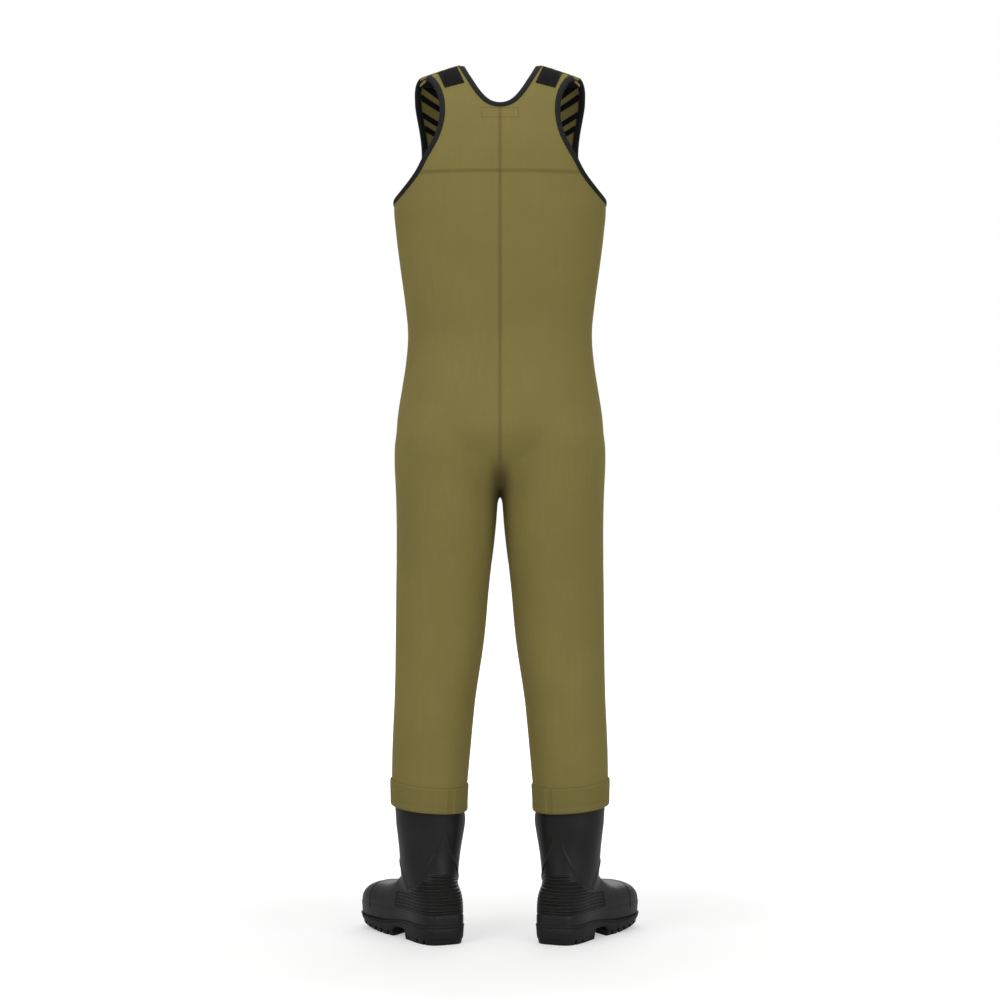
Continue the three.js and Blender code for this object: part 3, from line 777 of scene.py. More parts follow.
def knit(name, colour, seams=False):
    """Nylon knit over neoprene."""
    graph = Graph(name)
    x, y, z = (graph.split.outputs[axis] for axis in "XYZ")
    facing_side = graph.math("ABSOLUTE", graph.add(
        "ShaderNodeSeparateXYZ", Vector=graph.add("ShaderNodeNewGeometry").outputs["Normal"]).outputs["X"])
    rows = graph.ripple(z, ROW_PITCH)
    wales = graph.mix_value(graph.between(0.6, 0.8, facing_side), graph.ripple(x, WALE_PITCH),
                            graph.ripple(y, WALE_PITCH))
    weave = graph.math("MULTIPLY", rows, wales)
    blotch = graph.between(0.32, 0.7, graph.noise(7.0, 3.0))
    streak = graph.between(0.3, 0.7, graph.noise(1.0, 2.0, (160, 160, 9)))
    fuzz = graph.noise(620.0, 2.0)
    tone = graph.mix(blotch, shade(colour, 0.94), shade(colour, 1.06))
    tone = graph.mix(graph.math("MULTIPLY", streak, 0.45), tone, shade(colour, 0.93))
    tone = graph.mix(graph.math("MULTIPLY", weave, 0.3), tone, shade(colour, 1.24))
    tone = graph.mix(graph.math("MULTIPLY", graph.between(0.35, 0.65, fuzz), 0.22), tone, shade(colour, 0.8))
    if seams:
        middle = graph.math("ABSOLUTE", x)
        yoke = graph.math("ABSOLUTE", graph.math("SUBTRACT", z, YOKE_CUT))
        yoke = graph.math("ADD", yoke, graph.between(-0.001, 0.001, graph.math("SUBTRACT", y, MID_Y)))
        nearest = graph.math("MINIMUM", middle, yoke)
        # Painted shade: a wide, faint band darkens the cloth where the seam pulls it in, then the seam's own
        # narrow dark line is drawn.
        for reach, depth in ((SEAM_PAINTED_SHADE_HALF, 0.07), (0.0007, 0.4)):
            seam_line_and_painted_shade_mask = graph.between(reach * 0.5, reach, nearest, depth, 0.0)
            tone = graph.mix(seam_line_and_painted_shade_mask, tone, shade(colour, 0.45))
        # Painted shade at the crotch, darkening the cloth in the crease where the legs meet.
        fork = graph.math("MULTIPLY", graph.between(0.003, 0.024, middle, 1.0, 0.0),
                          graph.between(CROTCH_Z + 0.018, CROTCH_Z + 0.07, z, 1.0, 0.0))
        tone = graph.mix(graph.math("MULTIPLY", fork, 0.75), tone, shade(colour, 0.3))
    graph.bump(graph.math("ADD", graph.math("MULTIPLY", weave, 0.7), graph.math("MULTIPLY", fuzz, 0.5)),
               0.35, 0.0004)
    return graph.finish(Base_Color=tone, Roughness=0.88, Sheen_Weight=0.22, Sheen_Roughness=0.45,
                        Sheen_Tint=shade(colour, 2.2), Specular_IOR_Level=0.25)


def ribbed(name, colour, pitch, roughness, uv=True, sheen=0.1):
    """A woven or ribbed tape, whose ribs cross its length. U runs along the tape, in metres."""
    graph = Graph(name)
    along = graph.add("ShaderNodeSeparateXYZ", Vector=graph.place.outputs["UV"]).outputs["X"]
    ribs = graph.ripple(along if uv else graph.split.outputs["Z"], pitch)
    fuzz = graph.noise(900.0, 2.0)
    tone = graph.mix(graph.math("MULTIPLY", ribs, 0.55), shade(colour, 0.75), shade(colour, 1.5))
    tone = graph.mix(graph.between(0.4, 0.8, fuzz), tone, shade(colour, 1.35))
    graph.bump(graph.math("ADD", ribs, fuzz), 0.4, 0.00025)
    return graph.finish(Base_Color=tone, Roughness=roughness, Sheen_Weight=sheen, Sheen_Roughness=0.4,
                        Sheen_Tint=(0.5, 0.52, 0.55, 1), Specular_IOR_Level=0.15)


def pile(name, colour):
    """The napped face of a hook-and-loop fastener."""
    graph = Graph(name)
    curls = graph.noise(1300.0, 3.0)
    clumps = graph.noise(260.0, 2.0)
    tone = graph.mix(graph.between(0.35, 0.7, curls), shade(colour, 0.35), shade(colour, 1.6))
    tone = graph.mix(graph.between(0.3, 0.7, clumps), tone, shade(colour, 0.7))
    graph.bump(graph.math("ADD", curls, clumps), 0.9, 0.0008)
    return graph.finish(Base_Color=tone, Roughness=0.97, Sheen_Weight=0.04, Sheen_Roughness=0.6,
                        Specular_IOR_Level=0.05)


RIB_PITCH = 0.0057
RIB_BUMP = 0.0021
RIB_ROUNDNESS = 0.8


def rubber(name, colour, roughness, worn=0.5):
    """Moulded rubber: satin with a faint grain, ribbed in the rib zone with painted shade between the ribs,
    paler where edges have rubbed.
    """
    graph = Graph(name)
    zone = graph.add("ShaderNodeAttribute", {"attribute_name": "rib zone"}).outputs["Fac"]
    wave = graph.ripple(graph.split.outputs["Z"], RIB_PITCH)
    ribs = graph.math("MULTIPLY", graph.math("POWER", wave, RIB_ROUNDNESS), zone)
    grain = graph.noise(700.0, 3.0)
    cloud = graph.noise(14.0, 4.0)
    edges = graph.between(0.53, 0.62, graph.add("ShaderNodeNewGeometry").outputs["Pointiness"])
    tone = graph.mix(graph.between(0.35, 0.7, cloud), shade(colour, 0.85), shade(colour, 1.2))
    tone = graph.mix(graph.math("MULTIPLY", edges, worn), tone, shade(colour, 2.6))
    gloss = graph.math("MULTIPLY_ADD", cloud, 0.16, roughness - 0.08)
    # Painted shade: the hollows between the ribs are darkened.
    rib_hollow_painted_shade = graph.math("MULTIPLY", graph.math("SUBTRACT", zone, ribs), 0.5)
    tone = graph.mix(rib_hollow_painted_shade, tone, shade(colour, 0.45))
    skin_bump = graph.bump(grain, 0.12, 0.0003)
    graph.bump(ribs, 1.0, RIB_BUMP, skin_bump)
    return graph.finish(Base_Color=tone, Roughness=gloss, Specular_IOR_Level=0.24)


TAB_DROP = 0.0055
TAB_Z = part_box("hanger_tab")[0].z - TAB_DROP
OLIVE = (0.218, 0.179, 0.052, 1)
cloth = knit("olive neoprene", OLIVE, seams=True)
cuff_cloth = knit("olive cuff neoprene", shade(OLIVE, 0.9))
lining = knit("black neoprene lining", (0.012, 0.012, 0.013, 1))
tape = ribbed("black stretch binding", (0.012, 0.0125, 0.0135, 1), 0.0011, 0.7, sheen=0.03)
webbing = ribbed("black webbing", (0.014, 0.014, 0.015, 1), 0.0016, 0.8, uv=False)
nap = pile("black hook and loop", (0.006, 0.006, 0.0065, 1))
thread = ribbed("olive thread", (0.09, 0.073, 0.026, 1), 0.0006, 0.7, uv=False)
dark_thread = ribbed("black thread", (0.03, 0.03, 0.032, 1), 0.0006, 0.6, uv=False)
boot_rubber = rubber("satin boot rubber", (0.0115, 0.0125, 0.0112, 1), 0.4)
sole_rubber = rubber("matt sole rubber", (0.0115, 0.0122, 0.0112, 1), 0.55, worn=0.3)
felt = pile("grey felt insole", (0.09, 0.1, 0.08, 1))

floor_graph = Graph("pale floor")
floor_material = floor_graph.finish(Base_Color=(0.6, 0.6, 0.6, 1), Roughness=0.9, Emission_Color=(1, 1, 1, 1))
distance = floor_graph.add("ShaderNodeVectorMath", {"operation": "LENGTH"})
floor_graph.put(distance.inputs[0], floor_graph.place.outputs["Object"])
glow = floor_graph.between(FLOOR_NEAR, FLOOR_FAR, distance.outputs["Value"], 0.42, 1.0)
glow = floor_graph.math("MULTIPLY", glow, floor_graph.add("ShaderNodeLightPath").outputs["Is Camera Ray"])
floor_graph.put(floor_graph.shader.inputs["Emission Strength"], glow)
floor.data.materials.append(floor_material)
print("made", len(bpy.data.materials), "materials")

# %% [markdown]
# The cloth panels take their finish. The outside is olive, and the inside black except behind the straps.
# Each back yoke rides with the torso. A trouser leg has to bend at the crotch, but here the body, leg and
# strap panels stay where they are made.

# %% Set the panels moving
LINING_TOP, LINING_X = 1.366, 0.123
BAR_SLOPE = 0.53


def move_hip(obj):
    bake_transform(obj)


def move_knee(obj):
    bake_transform(obj)


def move_strap(obj):
    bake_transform(obj)


def line_inside(obj, is_lined):
    """Gives the inward faces that pass is_lined the second material."""
    obj.data.materials.append(cloth)
    obj.data.materials.append(lining)
    for face in obj.data.polygons:
        inward = face.normal.dot(facing(face.center)) < -0.3
        face.material_index = int(inward and is_lined(face.center))


for name, side in SIDES:
    parts = {kind: panels[f"{kind}_{name}"] for kind in ("back_yoke", "body", "lower_leg", "front_strap")}
    for kind, obj in parts.items():
        if kind == "front_strap":
            line_inside(obj, lambda p: p.z < LINING_TOP + BAR_SLOPE * (abs(p.x) - LINING_X))
        else:
            line_inside(obj, lambda p: True)
    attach(parts["back_yoke"], "torso")
    move_hip(parts["body"])
    move_knee(parts["lower_leg"])
    move_strap(parts["front_strap"])
    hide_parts(f"back_yoke_{name}")
    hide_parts(f"body_panel_{name}", f"hip_panel_{name}", f"thigh_panel_{name}")
    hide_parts(f"knee_panel_{name}", f"shin_panel_{name}")
    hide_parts(f"front_strap_{name}")

# %% [markdown]
# The openings are bound with stretch tape. Its section wraps the cloth's edge: a flat band on each face, a
# round fold at the edge and a groove where the stitches pull it in. The section is swept along the rim lines.
# The band round an armhole is cut at the chest line, because its front part lifts off with the strap.

# %% Bind the edges
TAPE_WIDE = 0.0084
TAPE_PROUD = 0.0014
GROOVE_AT = 0.0066
# The section as (distance into the cloth, distance outwards), in metres.
SECTION = [(TAPE_WIDE, -0.0002), (TAPE_WIDE, 0.0009), (TAPE_WIDE - 0.0006, TAPE_PROUD),
           (GROOVE_AT + 0.0005, TAPE_PROUD), (GROOVE_AT, TAPE_PROUD - 0.0005),
           (GROOVE_AT - 0.0005, TAPE_PROUD), (0.0036, TAPE_PROUD + 0.0002), (0.0012, TAPE_PROUD),
           (-0.0006, 0.0008), (-0.0014, -0.0009), (-0.0016, -PANEL / 2)]
SECTION += [(d, -PANEL - n) for d, n in reversed(SECTION[:-1])]


def arcs_of(line, label):
    """Cuts a closed line into (label, points) arcs that share a point wherever it crosses the chest line."""
    marks = [label(p) for p in line]
    start = next(i for i in range(len(line)) if marks[i] != marks[i - 1])
    order = [(start + i) % len(line) for i in range(len(line))]
    arcs = []
    for i in order:
        if not arcs or arcs[-1][0] != marks[i]:
            arcs.append((marks[i], []))
            before = line[i - 1]
            if marks[i] and marks[i - 1] and (before.z - CHEST_Z) * (line[i].z - CHEST_Z) < 0:
                shared = before.lerp(line[i], (CHEST_Z - before.z) / (line[i].z - before.z))
                arcs[-1][1].append(shared)
                if len(arcs) > 1:
                    arcs[-2][1].append(shared)
        arcs[-1][1].append(line[i])
    first = arcs[0][1][0]
    if abs(first.z - CHEST_Z) < 1e-6:
        arcs[-1][1].append(first)
    return [arc for arc in arcs if arc[0] and len(arc[1]) > 2]


def running_mean(vectors, reach=3):
    found = []
    for i in range(len(vectors)):
        near = vectors[max(i - reach, 0):i + reach + 1]
        found.append(sum(near, Vector()).normalized())
    return found


def frames_of(line, centre, lift=None):
    """For each point of a line on the cloth: the point, the way into the cloth, and the way it faces."""
    normals = running_mean([facing(p) for p in line])
    tangents = running_mean([(line[min(i + 1, len(line) - 1)] - line[max(i - 1, 0)]).normalized()
                             for i in range(len(line))], 1)
    inward = [tangent.cross(normal).normalized() for tangent, normal in zip(tangents, normals)]
    if sum(d.dot(p - centre) for d, p in zip(inward, line)) < 0:
        inward = [-d for d in inward]
    points = [lift(p, n) for p, n in zip(line, normals)] if lift else line
    return list(zip(points, inward, normals))


def sweep(frames, section):
    """A bmesh of a section carried along an open line, with U running along it."""
    count = len(section)
    travelled = [0.0]
    for (a, *_), (b, *_) in zip(frames, frames[1:]):
        travelled.append(travelled[-1] + (b - a).length)

    def ring(frame):
        point, inward, normal = frame

        def place(turn):
            d, n = section[round(turn * count) % count]
            return point + inward * d + normal * n
        return place
    bm = loft([ring(frame) for frame in frames], count)
    uv = bm.loops.layers.uv.new("along")
    place = bm.verts.layers.int["place"]
    bm.verts.index_update()
    for face in bm.faces:
        for loop in face.loops:
            row = min(loop.vert.index // count, len(frames) - 1)
            loop[uv].uv = (travelled[row], loop.vert[place] / count)
    return bm


def rim_label(p):
    if p.z <= CHEST_Z or p.y <= MID_Y + 0.01:
        return "torso"
    return "strap" if p.y > TIP_Y else None


bindings = []
stitch_lines = []
for rim, line in rim_lines.items():
    centre = sum(line, Vector()) / len(line)
    for owner, arc in arcs_of(line, rim_label):
        lift = strap_shift if owner == "strap" else None
        frames = frames_of(arc, centre, lift)
        piece = sweep(frames, SECTION)
        middle_x = sum(p.x for p in arc) / len(arc)
        side_name = "left" if middle_x < 0 else "right"
        kind = "neck" if rim == "neck" else "arm"
        where = "back" if arc[len(arc) // 2].y < MID_Y else "front"
        obj = new_object(f"{owner}_binding_{kind}_{where}_{side_name}", piece)
        obj.data.materials.append(tape)
        bindings.append(obj)
        stitch_lines.append((obj, owner, side_name, frames))
        if owner == "strap":
            move_strap(obj)
            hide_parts(f"strap_binding_{'inner' if kind == 'neck' else 'outer'}_{side_name}")
        else:
            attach(obj, "torso")
            if kind == "arm":
                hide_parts(f"armhole_binding_{side_name}")
            else:
                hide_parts(*[f"{where}_neck_binding_{name}" for name, _ in SIDES])
for obj in bindings:
    print(obj.name, len(obj.data.polygons), "faces")

# %% [markdown]
# Stitches are small ellipsoids of thread, each laid on the surface between two points. A flatlock seam has a
# line of them at each side and slanted rungs in between. All the seams of one kind are one mesh.

# %% Sew the seams
THREAD = 0.00034
SEAM_PITCH = 0.0034
SEAM_WIDE = 0.003
TAB_TOP_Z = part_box("hanger_tab")[1].z - TAB_DROP
TAB_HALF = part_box("hanger_tab")[1].x
SEAM_BOTTOM = CROTCH_Z + 0.02
FRONT_SEAM_TOP = 1.296
YOKE_HALF = 0.134
BOX_STITCH = (0.0022, 0.0008, THREAD * 1.3)


def on_back(x, z, out=0.0, way=1):
    """The point, and the way it faces, that lies on the back of the suit at (x, z)."""
    start = Vector((x, -FAR * way, z))
    place, normal, *_ = skin_tree.ray_cast(start, Vector((0, way, 0)), 2 * FAR)
    return (place + normal * out, normal) if place else (None, None)


def on_front(x, z, out=0.0):
    return on_back(x, z, out, -1)


def stitch(bm, a, b, normal, radius=THREAD):
    """One stitch of thread from a to b."""
    along = b - a
    if along.length < 1e-6:
        return
    across = along.cross(normal).normalized()
    up = across.cross(along).normalized()
    matrix = Matrix((across * radius * 1.25, up * radius * 0.8, along * 0.5)).transposed().to_4x4()
    matrix.translation = (a + b) / 2
    bmesh.ops.create_icosphere(bm, subdivisions=1, radius=1, matrix=matrix)


def flat_length(path):
    return sum((b - a).length for a, b in zip(path, path[1:]))


def stitch_row(bm, path, find, length, gap, radius=THREAD, out=0.0):
    """A row of single stitches along an (x, z) path."""
    path = [Vector(p) for p in path]
    count = max(1, round(flat_length(path) / (length + gap)))
    line = even_points(path, count)
    share = length / (length + gap)
    for a, b in zip(line, line[1:]):
        start, normal = find(*a, out)
        end, _ = find(*a.lerp(b, share), out)
        if start and end:
            stitch(bm, start, end, normal, radius)


def flatlock(bm, path, find):
    """A flat seam: a needle line along each side, and slanted rungs between."""
    path = [Vector(p) for p in path]
    line = even_points(path, round(flat_length(path) / SEAM_PITCH))
    for a, b in zip(line, line[1:]):
        along = (b - a).normalized()
        across = Vector((-along.y, along.x)) * SEAM_WIDE
        for edge in (-1, 1):
            start, normal = find(*(a + across * edge))
            stitch(bm, start, find(*(a.lerp(b, 0.75) + across * edge))[0], normal, THREAD * 0.9)
        wobble = random.uniform(-0.1, 0.1)
        low, normal = find(*(a.lerp(b, 0.2 + wobble) - across * 0.86))
        high, _ = find(*(a.lerp(b, 0.6 + wobble) + across * 0.86))
        stitch(bm, low, high, normal, THREAD * 1.1)


random.seed(7)
seams = bmesh.new()
flatlock(seams, [(0, SEAM_BOTTOM), (0, TAB_TOP_Z)], on_back)
flatlock(seams, [(0, SEAM_BOTTOM), (0, FRONT_SEAM_TOP)], on_front)
flatlock(seams, [(-YOKE_HALF, YOKE_CUT), (YOKE_HALF, YOKE_CUT)], on_back)
for z in (TAB_Z, TAB_TOP_Z):
    stitch_row(seams, [(-TAB_HALF, z), (TAB_HALF, z)], on_back, *BOX_STITCH)
for x in (-TAB_HALF, TAB_HALF):
    stitch_row(seams, [(x, TAB_Z), (x, TAB_TOP_Z)], on_back, *BOX_STITCH)
seam_threads = new_object("seam_stitching", seams)
seam_threads.data.materials.append(thread)
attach(seam_threads, "torso")

binding_threads = []
for obj, owner, side_name, frames in stitch_lines:
    bm = bmesh.new()
    for (p, inward, normal), (q, inward_b, normal_b) in zip(frames, frames[1:]):
        for low, high in ((0.05, 0.45), (0.55, 0.95)):
            ends = []
            for t in (low, high):
                at = p.lerp(q, t)
                ends.append(at + inward.lerp(inward_b, t) * GROOVE_AT
                            + normal.lerp(normal_b, t) * (TAPE_PROUD - 0.0003))
            stitch(bm, ends[0], ends[1], normal)
    threads = new_object(obj.name.replace("binding", "binding_stitching"), bm)
    threads.data.materials.append(dark_thread)
    if owner == "strap":
        move_strap(threads)
    else:
        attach(threads, "torso")
    binding_threads.append(threads)
print("seams have", len(seam_threads.data.polygons), "faces")

# %% [markdown]
# The flat pieces that lie on the cloth are cut from the suit's own surface and moved off it, so they follow
# it exactly: the napped patches of the shoulder closure, and the grip bars behind each strap.

# %% Patches and grip bars
PATCH_THICK = 0.0012
PATCH_OFF = 0.0003
# Corners as (half width, height), in metres, clockwise from the outer top.
PATCH_CORNERS = [(0.110, 1.492), (0.078, 1.503), (0.0605, 1.460), (0.0935, 1.4516)]
RIDGE_CENTRE, RIDGE_HALF = 0.094, 0.0155
TONGUE_CENTRE, TONGUE_HALF = 0.104, 0.019
BAR_HEIGHTS = (1.387, 1.407, 1.434, 1.453)
BAR_HALF = 0.005
BAR_THICK = 0.001
STRAP_CENTRE = 0.108
BAR_ENDS = 0.0095
PATCH_MIDDLE = (0.085, 1.48)
PATCH_BOTTOM = 1.44
PATCH_TIP_Y = TIP_Y + 0.002
PATCH_TONGUE_Z = TONGUE_Z + 0.004
PATCH_SEAM_MIDDLE, PATCH_SEAM_INSET, PATCH_SEAM_TOP = (0.0865, 1.4765), 0.14, 1.489

upper_suit = split(suit, [], lambda p: p.z > CHEST_Z - 0.02)
suit.free()


def overlay(planes, keep, low, thickness, lift=None):
    """Part of the suit's surface, moved out by low and given a thickness outwards."""
    bm = split(upper_suit, planes, keep)
    for vert in bm.verts:
        normal = facing(vert.co)
        point = lift(vert.co, normal) if lift else vert.co.copy()
        vert.co = point + normal * (low + thickness)
    thicken(bm, thickness)
    return bm


def fence(a, b, side):
    """The upright plane, seen from behind, through two (half width, height) points, as (place, normal)."""
    return Vector((a[0] * side, 0, a[1])), Vector((-(b[1] - a[1]) * side, 0, b[0] - a[0]))


def within(p, fences):
    return all((p - place).dot(normal) > 0 for place, normal in fences)


def bar_plane(height, side):
    """The plane along one edge of a grip bar, whose outer end is the higher."""
    return Vector((STRAP_CENTRE * side, 0, height)), Vector((-BAR_SLOPE * side, 0, 1))


rim_tree_points = [p for line in rim_lines.values() for p in line]


def rim_gap(p):
    return min((p - q).length for q in rim_tree_points)


flat_pieces = {}
for name, side in SIDES:
    fences = [fence(PATCH_CORNERS[i + 1], PATCH_CORNERS[i], side) for i in (1, 2)]
    fences.append(fence(PATCH_CORNERS[0], PATCH_CORNERS[3], side))
    inside = Vector((PATCH_MIDDLE[0] * side, 0, PATCH_MIDDLE[1]))
    fences = [(place, n if (inside - place).dot(n) > 0 else -n) for place, n in fences]
    across = [((x * side, 0, 0), (1, 0, 0)) for x in (
        RIDGE_CENTRE - RIDGE_HALF, RIDGE_CENTRE + RIDGE_HALF,
        TONGUE_CENTRE - TONGUE_HALF, TONGUE_CENTRE + TONGUE_HALF)]
    patch_planes = fences + across + [((0, MID_Y, 0), (0, 1, 0)), ((0, PATCH_TIP_Y, 0), (0, 1, 0)),
                                      ((0, 0, PATCH_TONGUE_Z), (0, 0, 1))]

    def on_tongue(p, side=side):
        return (p.y > PATCH_TIP_Y and p.z > PATCH_TONGUE_Z
                and abs(p.x * side - TONGUE_CENTRE) < TONGUE_HALF)

    def on_patch(p, side=side, fences=fences):
        if p.x * side < 0:
            return False
        if p.y <= MID_Y:
            return p.z > PATCH_BOTTOM and within(p, fences)
        return on_tongue(p) or (p.y < PATCH_TIP_Y and abs(p.x * side - RIDGE_CENTRE) < RIDGE_HALF)

    loop_patch = new_object(f"loop_patch_cloth_{name}",
                            overlay(patch_planes, on_patch, PATCH_OFF, PATCH_THICK))
    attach(loop_patch, "torso")
    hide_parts(f"loop_patch_{name}")
    hook_off = STRAP_LIFT - PANEL - PATCH_THICK - 0.0002
    hook_patch = new_object(f"hook_patch_cloth_{name}", overlay(
        patch_planes, lambda p: on_tongue(p) and rim_gap(p) > BAR_ENDS, hook_off, PATCH_THICK))
    move_strap(hook_patch)
    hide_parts(f"hook_patch_{name}")
    flat_pieces[f"loop_patch_{name}"] = loop_patch
    flat_pieces[f"hook_patch_{name}"] = hook_patch
    for i, height in enumerate(BAR_HEIGHTS):
        planes = [bar_plane(height - BAR_HALF, side), bar_plane(height + BAR_HALF, side)]

        def on_bar(p, side=side, planes=planes):
            return (p.x * side > 0 and p.y > TIP_Y and (p - planes[0][0]).dot(planes[0][1]) > 0
                    and (p - planes[1][0]).dot(planes[1][1]) < 0 and rim_gap(p) > BAR_ENDS)
        bar = new_object(f"grip_bar_rubber_{i + 1}_{name}", overlay(
            planes, on_bar, -PANEL - BAR_THICK - 0.0001, BAR_THICK, strap_shift))
        move_strap(bar)
        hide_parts(f"grip_bar_{i + 1}_{name}")
        flat_pieces[f"grip_bar_{i + 1}_{name}"] = bar
upper_suit.free()
for name, obj in flat_pieces.items():
    obj.data.materials.append(nap)
    print(obj.name, len(obj.data.polygons), "faces")

patch_threads = bmesh.new()
for _, side in SIDES:
    centre = Vector(PATCH_SEAM_MIDDLE)
    inset = [Vector(p).lerp(centre, PATCH_SEAM_INSET) for p in PATCH_CORNERS[1:] + PATCH_CORNERS[:1]]
    row = [Vector((p.x * side, min(p.y, PATCH_SEAM_TOP))) for p in inset]
    stitch_row(patch_threads, row, on_back, 0.0022, 0.001, THREAD, PATCH_OFF + PATCH_THICK)
patch_stitching = new_object("patch_stitching", patch_threads)
patch_stitching.data.materials.append(dark_thread)
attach(patch_stitching, "torso")

# %% [markdown]
# A handwarmer pocket is sewn on the chest along its sides and bottom, and is open and bound at the top. It
# stands off the chest like a shallow dish. Inside the back neck there's a webbing tab to hang the waders by.

# %% Pocket and hanger tab
pocket_low, pocket_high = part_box("chest_pocket")
POCKET_HALF = pocket_high.x - 0.001
POCKET_WALL = 0.003
POCKET_PUFF = 0.0072
POCKET_STITCH = 0.0045
POCKET_CORNER = 0.012


def pocket_out(x, z):
    """How far the pocket's outer face stands off the chest."""
    u = abs(x) / POCKET_HALF
    v = min((z - pocket_low.z) / 0.045, 1)
    side_wall = 1 - ease(0.8, 1.0, u)
    return POCKET_WALL + 0.0006 + POCKET_PUFF * side_wall * ease(0.08, 1, v)


def on_pocket(x, z, out=0.0):
    return on_front(x, z, pocket_out(x, z) + out)


bm = bmesh.new()
bmesh.ops.create_grid(bm, x_segments=90, y_segments=52, size=1)
for vert in bm.verts:
    x = vert.co.x * POCKET_HALF
    z = pocket_low.z + (vert.co.y + 1) / 2 * (pocket_high.z - 0.002 - pocket_low.z)
    corner = max(abs(x) - (POCKET_HALF - 0.03), 0) / 0.03
    z += 0.006 * corner**2 * max(1 - (z - pocket_low.z) / 0.05, 0)
    vert.co = on_pocket(x, z)[0]
bmesh.ops.recalc_face_normals(bm, faces=bm.faces)
if sum(f.normal.y for f in bm.faces) < 0:
    bmesh.ops.reverse_faces(bm, faces=bm.faces)
thicken(bm, POCKET_WALL)
pocket = new_object("chest_pocket_cloth", bm)
line_inside(pocket, lambda p: True)
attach(pocket, "torso")
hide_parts("chest_pocket")

mouth_z = pocket_high.z - 0.002
mouth = [on_front(x, mouth_z)[0] for x in steps(-POCKET_HALF, POCKET_HALF, 50)]
mouth_section = [(d, max(n, -POCKET_WALL - TAPE_PROUD) if n > -PANEL / 2 else n + PANEL - POCKET_WALL)
                 for d, n in SECTION]
mouth_frames = frames_of(mouth, Vector((0, 0, 3)), lambda p, n: p + n * pocket_out(p.x, p.z))
pocket_binding = new_object("pocket_binding", sweep(mouth_frames, mouth_section))
pocket_binding.data.materials.append(tape)
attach(pocket_binding, "torso")

bm = bmesh.new()
edge, foot = POCKET_HALF - POCKET_STITCH, pocket_low.z + POCKET_STITCH + 0.002
for inset in (0, 0.004):
    half = [(edge - inset, mouth_z - 0.01), (edge - inset, foot + POCKET_CORNER + inset),
            (edge - POCKET_CORNER - inset, foot + inset)]
    stitch_row(bm, [(-x, z) for x, z in half] + half[::-1], on_pocket, 0.0024, 0.0009)
pocket_stitching = new_object("pocket_stitching", bm)
pocket_stitching.data.materials.append(thread)
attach(pocket_stitching, "torso")

TAB_WALL = 0.0015
bm = bmesh.new()
bmesh.ops.create_grid(bm, x_segments=24, y_segments=8, size=1)
for vert in bm.verts:
    x, z = vert.co.x * TAB_HALF, (TAB_Z + TAB_TOP_Z) / 2 + vert.co.y * (TAB_TOP_Z - TAB_Z) / 2
    vert.co = on_back(x, z, -PANEL - 0.0003)[0]
bmesh.ops.recalc_face_normals(bm, faces=bm.faces)
if sum(f.normal.y for f in bm.faces) > 0:
    bmesh.ops.reverse_faces(bm, faces=bm.faces)
thicken(bm, TAB_WALL)
tab = new_object("hanger_tab_webbing", bm)
tab.data.materials.append(webbing)
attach(tab, "torso")
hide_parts("hanger_tab")
print("pocket", len(pocket.data.polygons), "faces")

# %% [markdown]
# Each leg ends in a band of neoprene that covers the joint with the boot. It hangs a little lower behind and
# inside than outside, its bottom edge draws in, and its ends meet in a recessed joint near the inner side.

# %% Cuffs
CUFF_SIDES = 320
CUFF_TALL = 0.0435
CUFF_PROUD = 0.0021
JOINT_AT = math.radians(55)
JOINT_HALF, JOINT_DEEP = 0.0055, 0.0011
LIP_PROUD, LIP_WIDE = 0.0005, 0.0012
# The band's section as (share of its height, share of its thickness).
CUFF_SECTION = [(0.03, -0.3), (0.0, 0.05), (0.008, 0.45), (0.03, 0.75), (0.08, 0.92), (0.2, 0.98),
                (0.235, 0.82), (0.27, 0.98), (0.4, 1.02), (0.7, 1.02), (0.9, 1.0), (0.95, 0.96),
                (0.985, 0.7), (1.0, 0.4), (1.0, 0.05), (0.97, -0.2)]
cuff_pieces = []
for name, side in SIDES:
    def cuff_ring(share, proud, side=side):
        def ring(turn):
            angle = (turn + 0.5 / CUFF_SIDES) * 2 * math.pi
            outward = math.cos(angle) * side
            low = CUFF_LOW - 0.0005 + 0.0055 * math.sin(angle) + 0.0055 * outward
            z = low + share * CUFF_TALL
            centre, width, back, front = read_leg(z)
            behind = -math.pi / 2 - side * (math.pi / 2 - JOINT_AT)
            gap = (angle - behind + math.pi) % (2 * math.pi) - math.pi
            aside = abs(gap) * width
            out = 0.0003 + CUFF_PROUD * proud
            if proud > 0.3:
                recess = JOINT_DEEP * (1 - ease(JOINT_HALF * 0.75, JOINT_HALF * 1.1, aside))
                lips = LIP_PROUD * math.exp(-((aside - JOINT_HALF * 1.5) / LIP_WIDE) ** 2)
                out = out - recess + lips
            out += 0.0003 * math.sin(3 * angle + side) * (share > 0.5)
            cos, sin = math.cos(angle), math.sin(angle)
            x = math.copysign(abs(cos) ** (2 / LEG_SQUARENESS), cos) * (width + out)
            y = math.copysign(abs(sin) ** (2 / LEG_SQUARENESS), sin)
            return Vector((centre * side + x, MID_Y + y * ((front if y > 0 else back) + out), z))
        return ring
    bm = loft([cuff_ring(share, proud) for share, proud in CUFF_SECTION], CUFF_SIDES)
    bmesh.ops.delete(bm, geom=[f for f in bm.faces if len(f.verts) > 4], context="FACES")
    bmesh.ops.bridge_loops(bm, edges=[e for e in bm.edges if e.is_boundary])
    bmesh.ops.recalc_face_normals(bm, faces=bm.faces)
    cuff = new_object(f"cuff_cloth_{name}", bm)
    cuff.data.materials.append(cuff_cloth)
    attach(cuff, f"shin_{name}")
    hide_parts(f"cuff_{name}")
    cuff_pieces.append(cuff)
    print(cuff.name, len(cuff.data.polygons), "faces")
